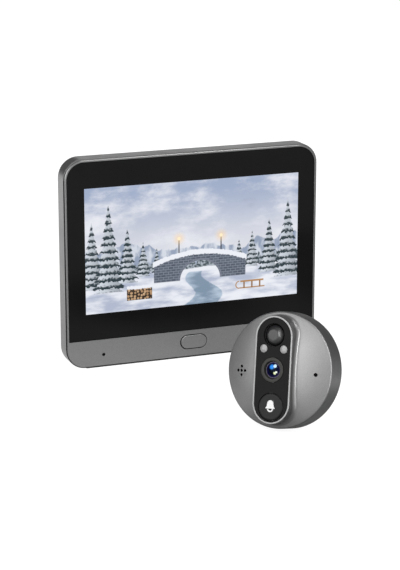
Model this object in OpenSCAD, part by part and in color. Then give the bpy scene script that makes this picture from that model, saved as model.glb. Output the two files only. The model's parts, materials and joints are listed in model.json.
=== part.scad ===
// Peephole door camera set: an indoor monitor and the round camera unit for the outside of the door.
// Lengths are in millimetres, angles in degrees.
// Each unit is drawn in its own face frame: x to the right, y up, z out of the face.
// A depth is counted backwards from the unit's front plane, so it lies at z = -depth.

/* [Screen and glass] */
// Width of the lit screen
screen_w = 110.7; // [90:0.1:140]
// Height of the lit screen
screen_h = 61.95; // [50:0.05:80]
// Black border of the glass beside the screen
mask_side = 8.65; // [6:0.05:14]
// Black border of the glass above the screen
mask_top = 12.8; // [9:0.1:20]
// Black border of the glass below the screen
mask_bottom = 13.1; // [9:0.1:20]
// Thickness of the front glass
glass_t = 1.1; // [0.7:0.1:2]
// Depth of the glass face behind the front plane
glass_sink = 0.12; // [0.05:0.01:0.3]
// Thickness of the tape behind the glass
glass_tape_t = 0.23; // [0.1:0.01:0.5]
// Border of the display panel beside the lit screen
panel_side = 3.8; // [2:0.1:5]
// Border of the display panel above the lit screen
panel_top = 3; // [2:0.1:6]
// Border of the display panel below the lit screen
panel_bottom = 4.5; // [2:0.1:8]
// Thickness of the display panel
panel_t = 1.4; // [0.8:0.1:2]
// Thickness of the backlight tray
backlight_t = 2.4; // [1.5:0.1:3.5]

/* [Monitor bezel] */
// Width of the grey rim beside and above the glass
rim_w = 1.4; // [1.2:0.1:4]
// Height of the grey chin below the glass
chin_h = 13.8; // [13:0.1:20]
// Radius of the monitor's corners
corner_r = 10; // [7:0.5:14]
// Rounding of the bezel's front edge
bezel_edge = 0.3; // [0.1:0.05:0.3]
// Thickness of the bezel's lip in front of the shadow groove
bezel_lip = 0.4; // [0.35:0.05:0.8]
// Inset of the bezel's lip from the monitor's outline
lip_in = 0.35; // [0.2:0.05:0.5]
// Thickness of the ledge that carries the glass
ledge_t = 1.2; // [0.8:0.1:2]
// Thickness of the tongue that enters the back shell
tongue_t = 1.2; // [0.8:0.1:2]
// Length of the tongue behind the ledge
tongue_len = 2.8; // [1.5:0.1:3.2]
// Width of the shadow groove between the bezel's lip and the back shell's lip
groove_w = 0.5; // [0.3:0.1:0.8]
// Thickness of the back shell's lip round the bezel
shell_lip = 0.45; // [0.35:0.05:0.55]
// Thickness of the web that carries the bezel's rim
web_t = 0.45; // [0.4:0.05:0.9]

/* [Home button and microphone] */
// Width of the home button
home_w = 13.4; // [10:0.1:18]
// Height of the home button
home_h = 6.7; // [5:0.1:8]
// Distance of the home button's centre below the glass
home_drop = 5.9; // [5.5:0.1:8]
// Rounding of the home button's edge
home_edge = 0.35; // [0.2:0.05:0.6]
// Height of the home button's face above the chin
home_proud = 0.3; // [0:0.05:0.5]
// Gap round the home button
home_gap = 0.25; // [0.15:0.05:0.4]
// Travel of the home button
home_travel = 0.5; // [0.2:0.1:1]
// Thickness of the button's retaining flange
flange_t = 0.7; // [0.5:0.1:1.2]
// Distance of the microphone hole from the monitor's left side
mic_in = 18.8; // [17.5:0.1:28]
// Height of the microphone hole above the bottom
mic_up = 6.2; // [5.8:0.1:9]
// Diameter of the microphone hole
mic_hole_d = 1.35; // [0.8:0.05:2]

/* [Monitor back] */
// Wall thickness of the back shell
shell_wall = 1.6; // [1.2:0.1:2.2]
// Depth of the straight side of the back shell
shell_side = 6.7; // [6.2:0.1:10]
// Rounding of the back edge
back_round = 4; // [3:0.1:6]
// Rise of the bracket pad on the back
pad_rise = 1.8; // [1.2:0.1:4]
// Width of the bracket pad
pad_w = 84; // [78:1:92]
// Height of the bracket pad
pad_h = 58; // [54:1:60]
// Corner radius of the bracket pad
pad_r = 6; // [4:0.5:9]
// Rounding of the bracket pad's edge
pad_edge = 1; // [0.5:0.1:1.2]
// Height of the bracket pad's middle above the bottom
pad_up = 52; // [50:0.5:54]
// Length of a bracket hook slot
slot_len = 10; // [6:0.5:11]
// Height of a bracket hook slot
slot_h = 4; // [3:0.1:5]
// Distance between the hook slots, sideways
slot_gap_x = 62; // [60:1:64]
// Distance between the hook slots, upwards
slot_gap_y = 34; // [28:1:38]
// Width of the ribbon window
ribbon_window_w = 23; // [20:0.5:28]
// Height of the ribbon window
ribbon_window_h = 3.4; // [2:0.1:3.8]
// Distance of the ribbon window below the monitor's top
ribbon_drop = 15.2; // [14:0.1:16]
// Distance of the ribbon window right of the middle
ribbon_right = 18; // [14:1:22]

/* [Monitor inside] */
// Thickness of a circuit board
board_t = 1.2; // [0.8:0.1:1.6]
// Gap between backlight and main board
board_gap = 1.4; // [1.2:0.1:2.4]
// Height of the main board's lower edge above the bottom
board_low = 28; // [26:0.5:30]
// Distance of the main board's upper edge below the top
board_drop = 11; // [10.5:0.5:12]
// Distance of the main board's left edge from the side
board_left_gap = 15; // [10:0.5:16]
// Distance of the board screws from the monitor's sides
board_screw_in = 18.5; // [18:0.5:19]
// Distance of the board screws from the board's edges
board_screw_edge = 4; // [3.5:0.5:5]
// Width of the battery
battery_w = 46; // [36:1:48]
// Height of the battery
battery_h = 42; // [32:1:48]
// Thickness of the foam behind the battery
battery_foam_t = 0.8; // [0.4:0.1:1.4]
// Diameter of the monitor's speaker
speaker_d = 16; // [13:0.5:17]
// Distance of the speaker right of the middle
speaker_right = 36; // [31:1:40]
// Height of the speaker's middle above the bottom
speaker_up = 12.8; // [12.5:0.1:13]
// Thickness of a speaker gasket
speaker_gasket_t = 0.5; // [0.3:0.1:0.8]
// Distance of the corner screws from the sides
screw_in_x = 10.5; // [9.5:0.5:12]
// Distance of the corner screws from the top and bottom
screw_in_y = 7; // [6.5:0.1:7.5]
// Height of the charging socket's middle above the bottom
usb_up = 40; // [36:1:70]

/* [Camera body] */
// Outer radius of the camera unit
cam_r = 25.7; // [25.5:0.1:32]
// Depth of the camera unit's side
cam_band = 9.3; // [9:0.1:14]
// Rounding of the camera's front edge
cam_edge = 0.6; // [0.3:0.1:1]
// Rise of the dome above the front edge
dome_rise = 4; // [3:0.1:4.2]
// Wall thickness of the camera cover
cover_wall = 1.6; // [1.2:0.1:1.8]
// Height of the flat boss above the front rim
boss_rise = 7.1; // [6.9:0.1:10]
// Distance of the boss's ends from the camera's edge
boss_margin = 2.1; // [1.6:0.1:2.4]
// Width of the grey land round the fascia plate
land_w = 0.8; // [0.5:0.1:1.2]

/* [Camera face] */
// Width of the fascia plate
fascia_w = 16.4; // [15.8:0.1:18]
// Thickness of the fascia plate
fascia_t = 1.2; // [1:0.1:1.5]
// Depth of the fascia plate below the land
fascia_sink = 0.1; // [0.05:0.01:0.2]
// Thickness of the tape behind the fascia plate
fascia_tape_t = 0.2; // [0.1:0.05:0.4]
// Thickness of the boss's floor behind the fascia plate
boss_floor = 1.4; // [1.2:0.1:1.6]
// Distance of the motion sensor's middle from the fascia plate's top
pir_in = 7.5; // [6.8:0.1:7.9]
// Diameter of the motion sensor's opening
pir_d = 10.1; // [9:0.1:10.4]
// Rise of the motion sensor's lens from its shoulder to its flat top
pir_dome = 1.7; // [0.8:0.1:2]
// Distance of a night light from the middle line
led_side = 4.9; // [4.6:0.1:5.4]
// Distance of the night lights below the motion sensor's middle
led_drop = 6.1; // [6:0.1:6.6]
// Diameter of a night light
led_d = 3.6; // [2.8:0.1:3.8]
// Diameter of the lens ring
lens_ring_d = 10.8; // [10.4:0.1:11.4]
// Diameter of the front lens
lens_d = 6.7; // [6:0.1:7]
// Distance of the bell button's middle from the fascia plate's bottom
bell_in = 6.6; // [6.5:0.1:7.1]
// Diameter of the bell button
bell_d = 11.9; // [10:0.1:12]
// Travel of the bell button
bell_travel = 0.6; // [0.3:0.1:0.7]
// Height of the bell symbol
bell_symbol_h = 5.6; // [4:0.1:7]
// Distance of the speaker holes from the camera's edge
cam_speaker_in = 8.1; // [7.7:0.1:9.2]
// Distance of the camera microphone from the camera's edge
cam_mic_in = 6.9; // [6.7:0.1:9.7]
// Distance of the side holes below the middle
side_hole_down = 1.1; // [0:0.1:2]
// Diameter of a speaker hole
speaker_hole_d = 1; // [0.6:0.1:1.4]
// Pitch of the speaker holes
speaker_hole_pitch = 1.9; // [1.6:0.1:2.4]
// Diameter of the camera's microphone hole
cam_mic_d = 1.4; // [0.8:0.1:2]

/* [Camera inside and back] */
// Depth of the camera's circuit board behind the front rim
cam_board_d = 3.6; // [3.5:0.1:3.8]
// Thickness of the camera's base plate
base_t = 2; // [1.6:0.1:2.2]
// Thickness of the base seal
seal_t = 0.6; // [0.4:0.1:0.8]
// Distance of the cover screws from the camera's edge
cover_screw_in = 7.1; // [6.9:0.1:7.3]
// Diameter of the locating boss that enters the peephole
peephole_d = 13.2; // [11:0.1:16]
// Length of the locating boss
peephole_len = 6; // [4:0.5:20]
// Pitch circle of the two mounting inserts
insert_pcd = 29; // [27:0.5:30]
// Thickness of the foam ring on the back
foam_t = 0.8; // [0.5:0.1:2]
// Width of the foam ring on the back
foam_w = 4.8; // [3:0.1:5]

/* [Placing on the table] */
// Sideways place of the camera unit
cam_x = -3.35; // [-60:0.05:60]
// Distance of the camera unit in front of the monitor
cam_forward = 115.4; // [60:0.1:200]
// Turn of the camera unit about the vertical
cam_yaw = -52.5; // [-90:0.1:90]
// Lean of the camera unit, backwards
cam_lean = 15.5; // [0:0.1:30]
// Roll of the camera unit about its own axis
cam_roll = -5.9; // [-45:0.1:45]

/* [Fits] */
// Gap round a piece that is set into a recess
fit_gap = 0.1; // [0.05:0.01:0.2]
// Gap round a button that slides
slide_gap = 0.15; // [0.1:0.01:0.25]
// Gap between a screw and its hole
screw_gap = 0.05; // [0.02:0.01:0.1]
// Gap kept free beyond a button's travel
stop_gap = 0.15; // [0.1:0.01:0.3]

/* [Hidden] */
$fn = 64;
// Extra length of a cutting tool past a face
over = 1;

// Monitor outline
glass_w = screen_w + 2 * mask_side;
glass_h = screen_h + mask_top + mask_bottom;
monitor_w = glass_w + 2 * (rim_w + fit_gap);
monitor_h = chin_h + glass_h + rim_w + 2 * fit_gap;
glass_low = chin_h + fit_gap;
glass_r = corner_r - rim_w - fit_gap;
screen_low = glass_low + mask_bottom;
// Monitor depths, front to back
glass_back = glass_sink + glass_t;
ledge_front = glass_back + glass_tape_t;
ledge_back = ledge_front + ledge_t;
panel_back = glass_back + panel_t;
backlight_back = panel_back + backlight_t;
tongue_back = ledge_back + tongue_len;
groove_back = bezel_lip + groove_w;
groove_d = shell_lip + slide_gap;
bezel_back = ledge_front + web_t;
shell_front = bezel_back + fit_gap;
lip_w = monitor_w - 2 * lip_in;
lip_h = monitor_h - 2 * lip_in;
round_front = shell_front + shell_side;
shell_back = round_front + back_round;
shell_inner = shell_back - shell_wall;
pad_back = shell_back + pad_rise;
pad_inner = pad_back - shell_wall;
foot_depth = (shell_front + round_front) / 2;
tongue_in = shell_wall + slide_gap;
boss_reach = 0.5;
boss_meet = tongue_back + boss_reach;
// Display panel
panel_w = screen_w + 2 * panel_side;
panel_h = screen_h + panel_top + panel_bottom;
panel_mid = screen_low - panel_bottom + panel_h / 2;
panel_gap = 0.5;
panel_r = 1.5;
// Home button stack
home_up = chin_h - home_drop;
mic_left = monitor_w / 2 - mic_in;
flange_front = ledge_back + fit_gap;
flange_back = flange_front + flange_t;
flange_lip = 0.8;
switch_w = 6;
plunger_r = 1.7;
plunger_reach = 0.3;
home_switch_front = flange_back + home_travel + stop_gap;
home_plunger_back = home_switch_front + plunger_reach;
home_switch_t = 2;
home_switch_back = home_switch_front + home_switch_t;
button_board_front = home_switch_back;
button_board_t = 1;
button_board_back = button_board_front + button_board_t;
button_board_h = 8.6;
post_r = 2;
post_from_home = 8;
post_from_mic = 18;
post_right = home_w / 2 + post_from_home;
post_left = mic_left - post_from_mic;
// Microphone of the monitor
capsule_r = 2;
capsule_len = 2;
boot_r = 3;
mic_front = button_board_front - capsule_len;
// Main board and what it carries
board_front = backlight_back + board_gap;
board_back = board_front + board_t;
board_x0 = -monitor_w / 2 + board_left_gap;
board_right_gap = 1.5;
board_x1 = monitor_w / 2 - shell_wall - board_right_gap;
board_high = monitor_h - board_drop;
board_screw_x = monitor_w / 2 - board_screw_in;
board_screw_y = [board_low + board_screw_edge, board_high - board_screw_edge];
board_boss_r = 2.6;
board_mid = (board_low + board_high) / 2;
chip_t = 1.3;
battery_back = pad_inner - battery_foam_t;
battery_gap = 0.4;
battery_front = board_back + battery_gap;
battery_r = 3;
foam_in = 3;
// Screws
small_screw_r = 0.8;
small_head_r = 1.7;
small_head_t = 0.8;
corner_screw_r = 1;
corner_head_r = 2.1;
corner_head_t = 1;
corner_boss_r = 2.6;
head_sink = 0.2;
shaft_gap = 0.2;
corner_floor = shell_back - corner_head_t - head_sink;
corner_x = monitor_w / 2 - screw_in_x;
corner_y = [screw_in_y, monitor_h - screw_in_y];
// Monitor speaker
speaker_back = shell_inner - speaker_gasket_t;
speaker_frame_t = 2;
speaker_magnet_t = 1.6;
speaker_lip = 1.6;
collar_t = 1.2;
// Sockets
usb_w = 7.4;
usb_t = 2.8;
usb_len = 6;
usb_gap = 0.25;
usb_inset = 0.7;
ribbon_up = monitor_h - ribbon_drop;
socket_in = 3;
socket_w = ribbon_window_w - socket_in;
socket_h = 4.6;
socket_t = 2.4;

// Camera depths, negative in front of the rim plane
dome_r = (pow(cam_r - cam_edge, 2) + pow(dome_rise, 2)) / (2 * dome_rise);
dome_mid = dome_r - cam_edge - dome_rise;
boss_w = fascia_w + 2 * (land_w + fit_gap);
boss_h = 2 * (cam_r - boss_margin);
fascia_h = boss_h - 2 * (land_w + fit_gap);
pir_up = fascia_h / 2 - pir_in;
led_up = pir_up - led_drop;
bell_down = fascia_h / 2 - bell_in;
fascia_front = -boss_rise + fascia_sink;
fascia_back = fascia_front + fascia_t;
floor_front = fascia_back + fascia_tape_t;
floor_back = floor_front + boss_floor;
cam_inner_r = cam_r - cover_wall;
cam_board_back = cam_board_d + board_t;
base_front = cam_band - base_t;
seal_front = base_front - seal_t;
ledge_ring_t = 1.4;
seal_w = 1.6;
base_r = cam_inner_r - slide_gap;
cam_board_gap = 0.5;
cam_board_r = cam_inner_r - seal_w - cam_board_gap;
foam_back = cam_band + foam_t;
// Posts that carry the camera's board and base
cover_screw_r = cam_r - cover_screw_in;
post_shoulder_r = 3;
spigot_r = 2.1;
cover_screw_shaft_r = 0.9;
cover_head_r = 2;
cover_head_t = 0.9;
cover_floor = cam_band - cover_head_t - head_sink;
// Motion sensor
pir_r = pir_d / 2 - fit_gap;
pir_sink = 0.6;
pir_shelf = floor_front + pir_sink;
pir_shoulder_sink = 1;
pir_shoulder = fascia_front + pir_shoulder_sink;
pir_rim = 0.7;
pir_neck_r = pir_r - pir_rim;
pir_top_in = 1.45;
pir_top_r = pir_neck_r - pir_top_in;
pir_flange_r = 5.6;
pir_can_r = 4.1;
pir_can_len = 4.2;
// Lens
ring_proud = 0.2;
ring_front = -boss_rise - ring_proud;
ring_sleeve_r = 4.8;
barrel_wall = 0.6;
hood_depth = 1.1;
barrel_gap = 1.4;
lens_sink = 0.2;
barrel_r = lens_d / 2 + barrel_wall;
barrel_front = ring_front + hood_depth;
barrel_back = cam_board_d - barrel_gap;
lens_seat = barrel_front + lens_sink;
lens_bulge = 0.8;
lens_edge_t = 1.2;
lens_step = 0.5;
lens_space = 4;
inner_bulge = 0.6;
inner_lens_r = lens_d / 2 - lens_step;
inner_lens_front = lens_seat + lens_space;
led_lip = 0.3;
holder_w = 11;
holder_gap = 0.4;
holder_h = 2 * (led_up - led_d / 2 - led_lip - holder_gap);
holder_front = 0.4;
sensor_w = 6;
sensor_t = 0.8;
// Bell button stack
bell_proud = 0.15;
bell_face = -boss_rise - bell_proud;
bell_cap_back = fascia_back;
bell_pocket = bell_cap_back + bell_travel + stop_gap;
bell_stem_r = 4.5;
bell_flange_r = 5.2;
bell_flange_front = floor_back + fit_gap;
bell_flange_t = 0.9;
bell_flange_back = bell_flange_front + bell_flange_t;
bell_edge = 0.4;
bell_symbol_t = 0.12;
bell_switch_front = bell_flange_back + bell_travel + stop_gap;
bell_plunger_back = bell_switch_front + plunger_reach;
// Camera speaker and microphone
cam_speaker_r = 6.5;
cam_speaker_shift = 1.8;
cam_speaker_lip = 1.2;
cam_speaker_left = cam_r - cam_speaker_in;
cam_speaker_x = cam_speaker_shift - cam_speaker_left;
cam_mic_right = cam_r - cam_mic_in;
cam_speaker_front = 0.9;
cam_speaker_back = cam_board_d - fit_gap;
cam_boot_r = 2.8;
cam_boot_front = 0.4;
cam_capsule_front = cam_board_d - capsule_len;
// Mounting on the door
outlet_wall = 1.8;
insert_r = 2;
insert_bore_r = 1.25;
insert_boss_r = 3.4;
insert_floor = 0.6;
insert_front = cam_board_back + insert_floor;
foam_edge = 0.7;
foam_out_r = cam_inner_r - foam_edge;
foam_in_r = foam_out_r - foam_w;
// Height of the rim's centre with the back rim on the table
cam_z = cam_r * cos(cam_lean) + cam_band * sin(cam_lean);

// Stand the monitor on its bottom edge, with the middle of its bottom face at the origin
module place_monitor() {
  translate([0, -foot_depth, 0]) rotate([90, 0, 0]) children();
}

// Stand the camera unit on its back rim in front of the monitor
module place_camera() {
  translate([cam_x, -foot_depth - cam_forward, cam_z])
    rotate([-cam_lean, 0, cam_yaw]) rotate([0, cam_roll, 0]) rotate([90, 0, 0]) children();
}

// A flat outline extruded from one depth to another
module slab(front, back) {
  translate([0, 0, -back]) linear_extrude(back - front) children();
}

// A round peg between two depths
module peg(r, front, back) {
  translate([0, 0, -back]) cylinder(r = r, h = back - front);
}

// A round tube between two depths
module tube(r_out, r_in, front, back) {
  difference() {
    peg(r_out, front, back);
    peg(r_in, front - over, back + over);
  }
}

// Rectangle with round corners, centred
module rounded_rect(w, h, r) {
  square([w - 2 * r, h], center = true);
  if (h > 2 * r) square([w, h - 2 * r], center = true);
  for (sx = [-1, 1], sy = [-1, 1]) translate([sx * (w / 2 - r), sy * (h / 2 - r)]) circle(r);
}

// Flat outline with round ends, longer sideways
module obround(w, h) {
  square([w - h, h], center = true);
  for (s = [-1, 1]) translate([s * (w - h) / 2, 0]) circle(h / 2);
}

// Flat outline with round ends, longer upwards
module stadium(w, h) {
  rotate(90) obround(h, w);
}

// Carry a profile round a rounded rectangle; its x is the distance from the corner's centre
module rim_sweep(w, h, r) {
  for (k = [0:3]) {
    across = (k % 2 == 0 ? w : h) / 2 - r;
    along = (k % 2 == 0 ? h : w) / 2 - r;
    rotate(90 * k) translate([across, along, 0]) {
      rotate_extrude(angle = 90) children();
      if (along > 0) rotate([90, 0, 0]) linear_extrude(2 * along) children();
    }
  }
}

// Section of a wall whose outer front corner is rounded
module edge_section(r, edge, front, back) {
  translate([r - edge, -back]) square([edge, back - front - edge]);
  translate([r - edge, -front - edge]) intersection() {
    circle(edge);
    square(edge);
  }
}

// Slab with round corners and a rounded front edge
module soft_slab(w, h, r, edge, front, back) {
  slab(front, back) rounded_rect(w - 2 * edge, h - 2 * edge, r - edge);
  rim_sweep(w, h, r) edge_section(r, edge, front, back);
}

// Outline of the monitor, drawn in from its edge
module monitor_outline(inset) {
  translate([0, monitor_h / 2]) rounded_rect(monitor_w - 2 * inset, monitor_h - 2 * inset, corner_r - inset);
}

// Outline of the glass: round corners above, square corners at the chin
module glass_outline(grow) {
  w = glass_w + 2 * grow;
  r = glass_r + grow;
  low = glass_low - grow;
  high = glass_low + glass_h + grow;
  translate([-w / 2, low]) square([w, high - low - r]);
  translate([-w / 2 + r, low]) square([w - 2 * r, high - low]);
  for (s = [-1, 1]) translate([s * (w / 2 - r), high - r]) circle(r);
}

// Outline of the display panel
module panel_outline(grow) {
  translate([0, panel_mid]) rounded_rect(panel_w + 2 * grow, panel_h + 2 * grow, panel_r);
}

// Place children at the four corner screws
module at_corner_screws() {
  for (sx = [-1, 1], y = corner_y) translate([sx * corner_x, y, 0]) children();
}

// Place children at the main board's screws
module at_board_screws() {
  for (sx = [-1, 1], y = board_screw_y) translate([sx * board_screw_x, y, 0]) children();
}

// Place children at the button board's posts
module at_button_posts() {
  for (x = [-post_left, post_right]) translate([x, home_up, 0]) children();
}

// Place children at the four hook slots
module at_hook_slots() {
  for (sx = [-1, 1], sy = [-1, 1])
    translate([sx * slot_gap_x / 2, pad_up + sy * slot_gap_y / 2, 0]) children();
}

module front_bezel() {
  color("#77787a") place_monitor() difference() {
    union() {
      translate([0, monitor_h / 2, 0])
        soft_slab(lip_w, lip_h, corner_r - lip_in, bezel_edge, 0, bezel_lip);
      slab(bezel_lip, bezel_back) monitor_outline(groove_d);
      slab(bezel_back, ledge_back) monitor_outline(tongue_in);
      slab(ledge_back, tongue_back) difference() {
        monitor_outline(tongue_in);
        monitor_outline(tongue_in + tongue_t);
      }
      at_corner_screws() peg(corner_boss_r, bezel_back, boss_meet);
      at_button_posts() peg(post_r, bezel_back, button_board_front);
    }
    slab(-over, ledge_front) glass_outline(fit_gap);
    slab(0, ledge_back + over) panel_outline(panel_gap);
    translate([0, home_up, 0]) slab(-over, ledge_back + over)
      obround(home_w + 2 * home_gap, home_h + 2 * home_gap);
    translate([-mic_left, mic_up, 0]) peg(mic_hole_d / 2, -over, ledge_back + over);
    at_corner_screws() peg(corner_screw_r + screw_gap, ledge_back, boss_meet + over);
    at_button_posts() peg(small_screw_r + screw_gap, ledge_back, button_board_front + over);
  }
}

module screen_glass() {
  color("#17181a") place_monitor() slab(glass_sink, glass_back) glass_outline(0);
}

module glass_tape() {
  tape_in = 0.6;
  color("#202020") place_monitor() slab(glass_back, ledge_front) difference() {
    glass_outline(-tape_in);
    panel_outline(panel_gap);
  }
}

module lcd_panel() {
  color("#26303a") place_monitor() slab(glass_back, panel_back) panel_outline(0);
}

module lcd_backlight() {
  rib_in = 6;
  rib_sink = 0.5;
  color("#c4c7c9") place_monitor() difference() {
    slab(panel_back, backlight_back) panel_outline(0);
    slab(backlight_back - rib_sink, backlight_back + over) panel_outline(-rib_in);
  }
}

module home_button() {
  color("#737476") place_monitor() translate([0, home_up, 0]) {
    soft_slab(home_w, home_h, home_h / 2, home_edge, -home_proud, flange_front);
    slab(flange_front, flange_back) obround(home_w + 2 * flange_lip, home_h + 2 * flange_lip);
  }
}

// Body of a small push switch with a bore for its plunger
module switch_body(front, back, bore_back) {
  difference() {
    slab(front, back) square(switch_w, center = true);
    peg(plunger_r + fit_gap, front - over, bore_back);
  }
}

module home_switch() {
  color("#2b2b2d") place_monitor() translate([0, home_up, 0])
    switch_body(home_switch_front, home_switch_back, home_plunger_back + home_travel + stop_gap);
}

module home_switch_plunger() {
  color("#d8d4c8") place_monitor() translate([0, home_up, 0])
    peg(plunger_r, flange_back, home_plunger_back);
}

module button_board() {
  end_gap = 4;
  boot_gap = 0.8;
  x0 = -mic_left - boot_r - boot_gap;
  x1 = post_right + end_gap;
  color("#1f5a3a") place_monitor() difference() {
    slab(button_board_front, button_board_back)
      translate([x0, home_up - button_board_h / 2]) square([x1 - x0, button_board_h]);
    at_button_posts() peg(small_screw_r + screw_gap, button_board_front - over, button_board_back + over);
  }
}

// Microphone capsule that stands on its board
module capsule(front, back) {
  peg(capsule_r, front, back);
}

// Rubber boot that leads sound from the casing to the capsule
module boot(r, front, capsule_front, back, hole_d) {
  difference() {
    peg(r, front, back);
    peg(capsule_r + screw_gap, capsule_front - fit_gap, back + over);
    peg(hole_d / 2, front - over, back);
  }
}

module monitor_microphone() {
  color("#b9babc") place_monitor() translate([-mic_left, mic_up, 0]) capsule(mic_front, button_board_front);
}

module mic_boot() {
  color("#1b1b1b") place_monitor() translate([-mic_left, mic_up, 0])
    boot(boot_r, ledge_back, mic_front, button_board_front, mic_hole_d);
}

module main_board() {
  color("#1f5a3a") place_monitor() difference() {
    slab(board_front, board_back)
      translate([board_x0, board_low]) square([board_x1 - board_x0, board_high - board_low]);
    at_board_screws() peg(small_screw_r + screw_gap, board_front - over, board_back + over);
  }
}

// Square chip on the back of the main board
module chip(x, y, w, h) {
  slab(board_back, board_back + chip_t) translate([x, y]) square([w, h], center = true);
}

module main_chips() {
  processor = 13;
  memory_w = 9;
  memory_h = 12;
  power_chip = 6;
  edge_gap = 2;
  between = 3;
  chip_x = board_x0 + edge_gap + processor / 2;
  color("#2a2a2c") place_monitor() {
    chip(chip_x, board_mid + (between + processor) / 2, processor, processor);
    chip(chip_x, board_mid - (between + memory_h) / 2, memory_w, memory_h);
    chip(board_screw_x, board_mid, power_chip, power_chip);
  }
}

module battery_pack() {
  color("#9aa0a6") place_monitor() translate([0, pad_up, 0])
    slab(battery_front, battery_back) rounded_rect(battery_w, battery_h, battery_r);
}

module battery_foam() {
  color("#3a3a3a") place_monitor() translate([0, pad_up, 0])
    slab(battery_back, pad_inner)
      rounded_rect(battery_w - 2 * foam_in, battery_h - 2 * foam_in, battery_r);
}

module monitor_speaker() {
  frame_front = speaker_back - speaker_frame_t;
  magnet_in = 3;
  color("#4a4a4c") place_monitor() translate([speaker_right, speaker_up, 0]) {
    peg(speaker_d / 2, frame_front, speaker_back);
    peg(speaker_d / 2 - magnet_in, frame_front - speaker_magnet_t, frame_front);
  }
}

module speaker_gasket() {
  color("#303030") place_monitor() translate([speaker_right, speaker_up, 0])
    tube(speaker_d / 2, speaker_d / 2 - speaker_lip, speaker_back, shell_inner);
}

module wifi_antenna() {
  antenna_w = 26;
  antenna_h = 4.5;
  antenna_t = 0.3;
  boss_gap = 2;
  top_gap = 1;
  x0 = -corner_x + corner_boss_r + boss_gap;
  y0 = monitor_h - back_round - top_gap - antenna_h;
  color("#b0702c") place_monitor() slab(shell_inner - antenna_t, shell_inner)
    translate([x0, y0]) square([antenna_w, antenna_h]);
}

module ribbon_socket() {
  mouth_in = 3;
  mouth_w = socket_w - mouth_in;
  mouth_h = 1.2;
  mouth_d = 1.6;
  back = board_back + socket_t;
  color("#d9d3c3") place_monitor() translate([ribbon_right, ribbon_up, 0]) difference() {
    slab(board_back, back) square([socket_w, socket_h], center = true);
    slab(back - mouth_d, back + over) square([mouth_w, mouth_h], center = true);
  }
}

// Charging socket lying on the board, its mouth towards the right side
module usb_outline(grow) {
  flat = 0.2;
  rounded_rect(usb_w + 2 * grow, usb_t + 2 * grow, usb_t / 2 - flat + grow);
}

// Turn an outline so that it is extruded sideways to the right edge of the monitor
module usb_place(x0, x1) {
  translate([x0, usb_up, -board_back - usb_t / 2])
    rotate([90, 0, 90]) linear_extrude(x1 - x0) children();
}

module usb_socket() {
  x1 = monitor_w / 2 - usb_inset;
  wall = 0.35;
  floor_t = 1;
  color("#c8cacc") place_monitor() difference() {
    usb_place(x1 - usb_len, x1) usb_outline(0);
    usb_place(x1 - usb_len + floor_t, x1 + over) usb_outline(-wall);
  }
}

// Section of the back shell's wall: thin lip, straight side, then a round turn into the back
module shell_section() {
  translate([corner_r - shell_lip, -shell_front]) square([shell_lip, shell_front - groove_back]);
  translate([corner_r - shell_wall, -round_front]) square([shell_wall, shell_side]);
  translate([corner_r - back_round, -round_front]) intersection() {
    difference() {
      circle(back_round);
      circle(back_round - shell_wall);
    }
    translate([0, -back_round]) square(back_round);
  }
}

// Pattern of round sound holes: one in the middle and a ring round it
module grille(pitch, d, front, back) {
  peg(d / 2, front, back);
  for (a = [0:60:300]) rotate(a) translate([pitch, 0, 0]) peg(d / 2, front, back);
  for (a = [30:60:330]) rotate(a) translate([pitch * sqrt(3), 0, 0]) peg(d / 2, front, back);
}

module back_shell() {
  collar_r = speaker_d / 2 + fit_gap;
  grille_pitch = 2.6;
  grille_d = 1.3;
  color("#77787a") place_monitor() difference() {
    union() {
      translate([0, monitor_h / 2, 0]) rim_sweep(monitor_w, monitor_h, corner_r) shell_section();
      slab(shell_inner, shell_back) monitor_outline(back_round);
      translate([0, pad_up, 0]) mirror([0, 0, 1])
        soft_slab(pad_w, pad_h, pad_r, pad_edge, -pad_back, -shell_back);
      at_corner_screws() peg(corner_boss_r, boss_meet, shell_back);
      at_board_screws() peg(board_boss_r, board_back, shell_back);
      translate([speaker_right, speaker_up, 0])
        tube(collar_r + collar_t, collar_r, speaker_back - speaker_frame_t, shell_back);
    }
    translate([0, pad_up, 0]) slab(shell_inner - over, pad_inner)
      rounded_rect(pad_w - 2 * shell_wall, pad_h - 2 * shell_wall, pad_r - shell_wall);
    at_hook_slots() slab(pad_inner - over, pad_back + over) obround(slot_len, slot_h);
    translate([ribbon_right, ribbon_up, 0]) slab(shell_inner - over, shell_back + over)
      obround(ribbon_window_w, ribbon_window_h);
    translate([speaker_right, speaker_up, 0])
      grille(grille_pitch, grille_d, shell_inner - over, shell_back + over);
    at_corner_screws() {
      peg(corner_screw_r + shaft_gap, boss_meet - over, shell_back + over);
      peg(corner_head_r + fit_gap, corner_floor, shell_back + over);
    }
    at_board_screws() peg(small_screw_r + screw_gap, board_back - over, shell_inner);
    usb_place(monitor_w / 2 - usb_len, monitor_w / 2 + over) usb_outline(usb_gap);
  }
}

module shell_screws() {
  tip_gap = 0.6;
  tip = ledge_back + tip_gap;
  slot_w = 0.6;
  slot_d = 0.5;
  color("#5c5c5e") place_monitor() at_corner_screws() difference() {
    union() {
      peg(corner_screw_r, tip, corner_floor);
      peg(corner_head_r, corner_floor, corner_floor + corner_head_t);
    }
    slab(corner_floor + corner_head_t - slot_d, shell_back + over) {
      square([2 * corner_screw_r, slot_w], center = true);
      square([slot_w, 2 * corner_screw_r], center = true);
    }
  }
}

module board_screws() {
  grip = 2;
  color("#8a8c8e") place_monitor() {
    at_board_screws() {
      peg(small_head_r, board_front - small_head_t, board_front);
      peg(small_screw_r, board_front, board_back + grip);
    }
    at_button_posts() {
      peg(small_head_r, button_board_back, button_board_back + small_head_t);
      peg(small_screw_r, button_board_front - grip, button_board_back);
    }
  }
}

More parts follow.
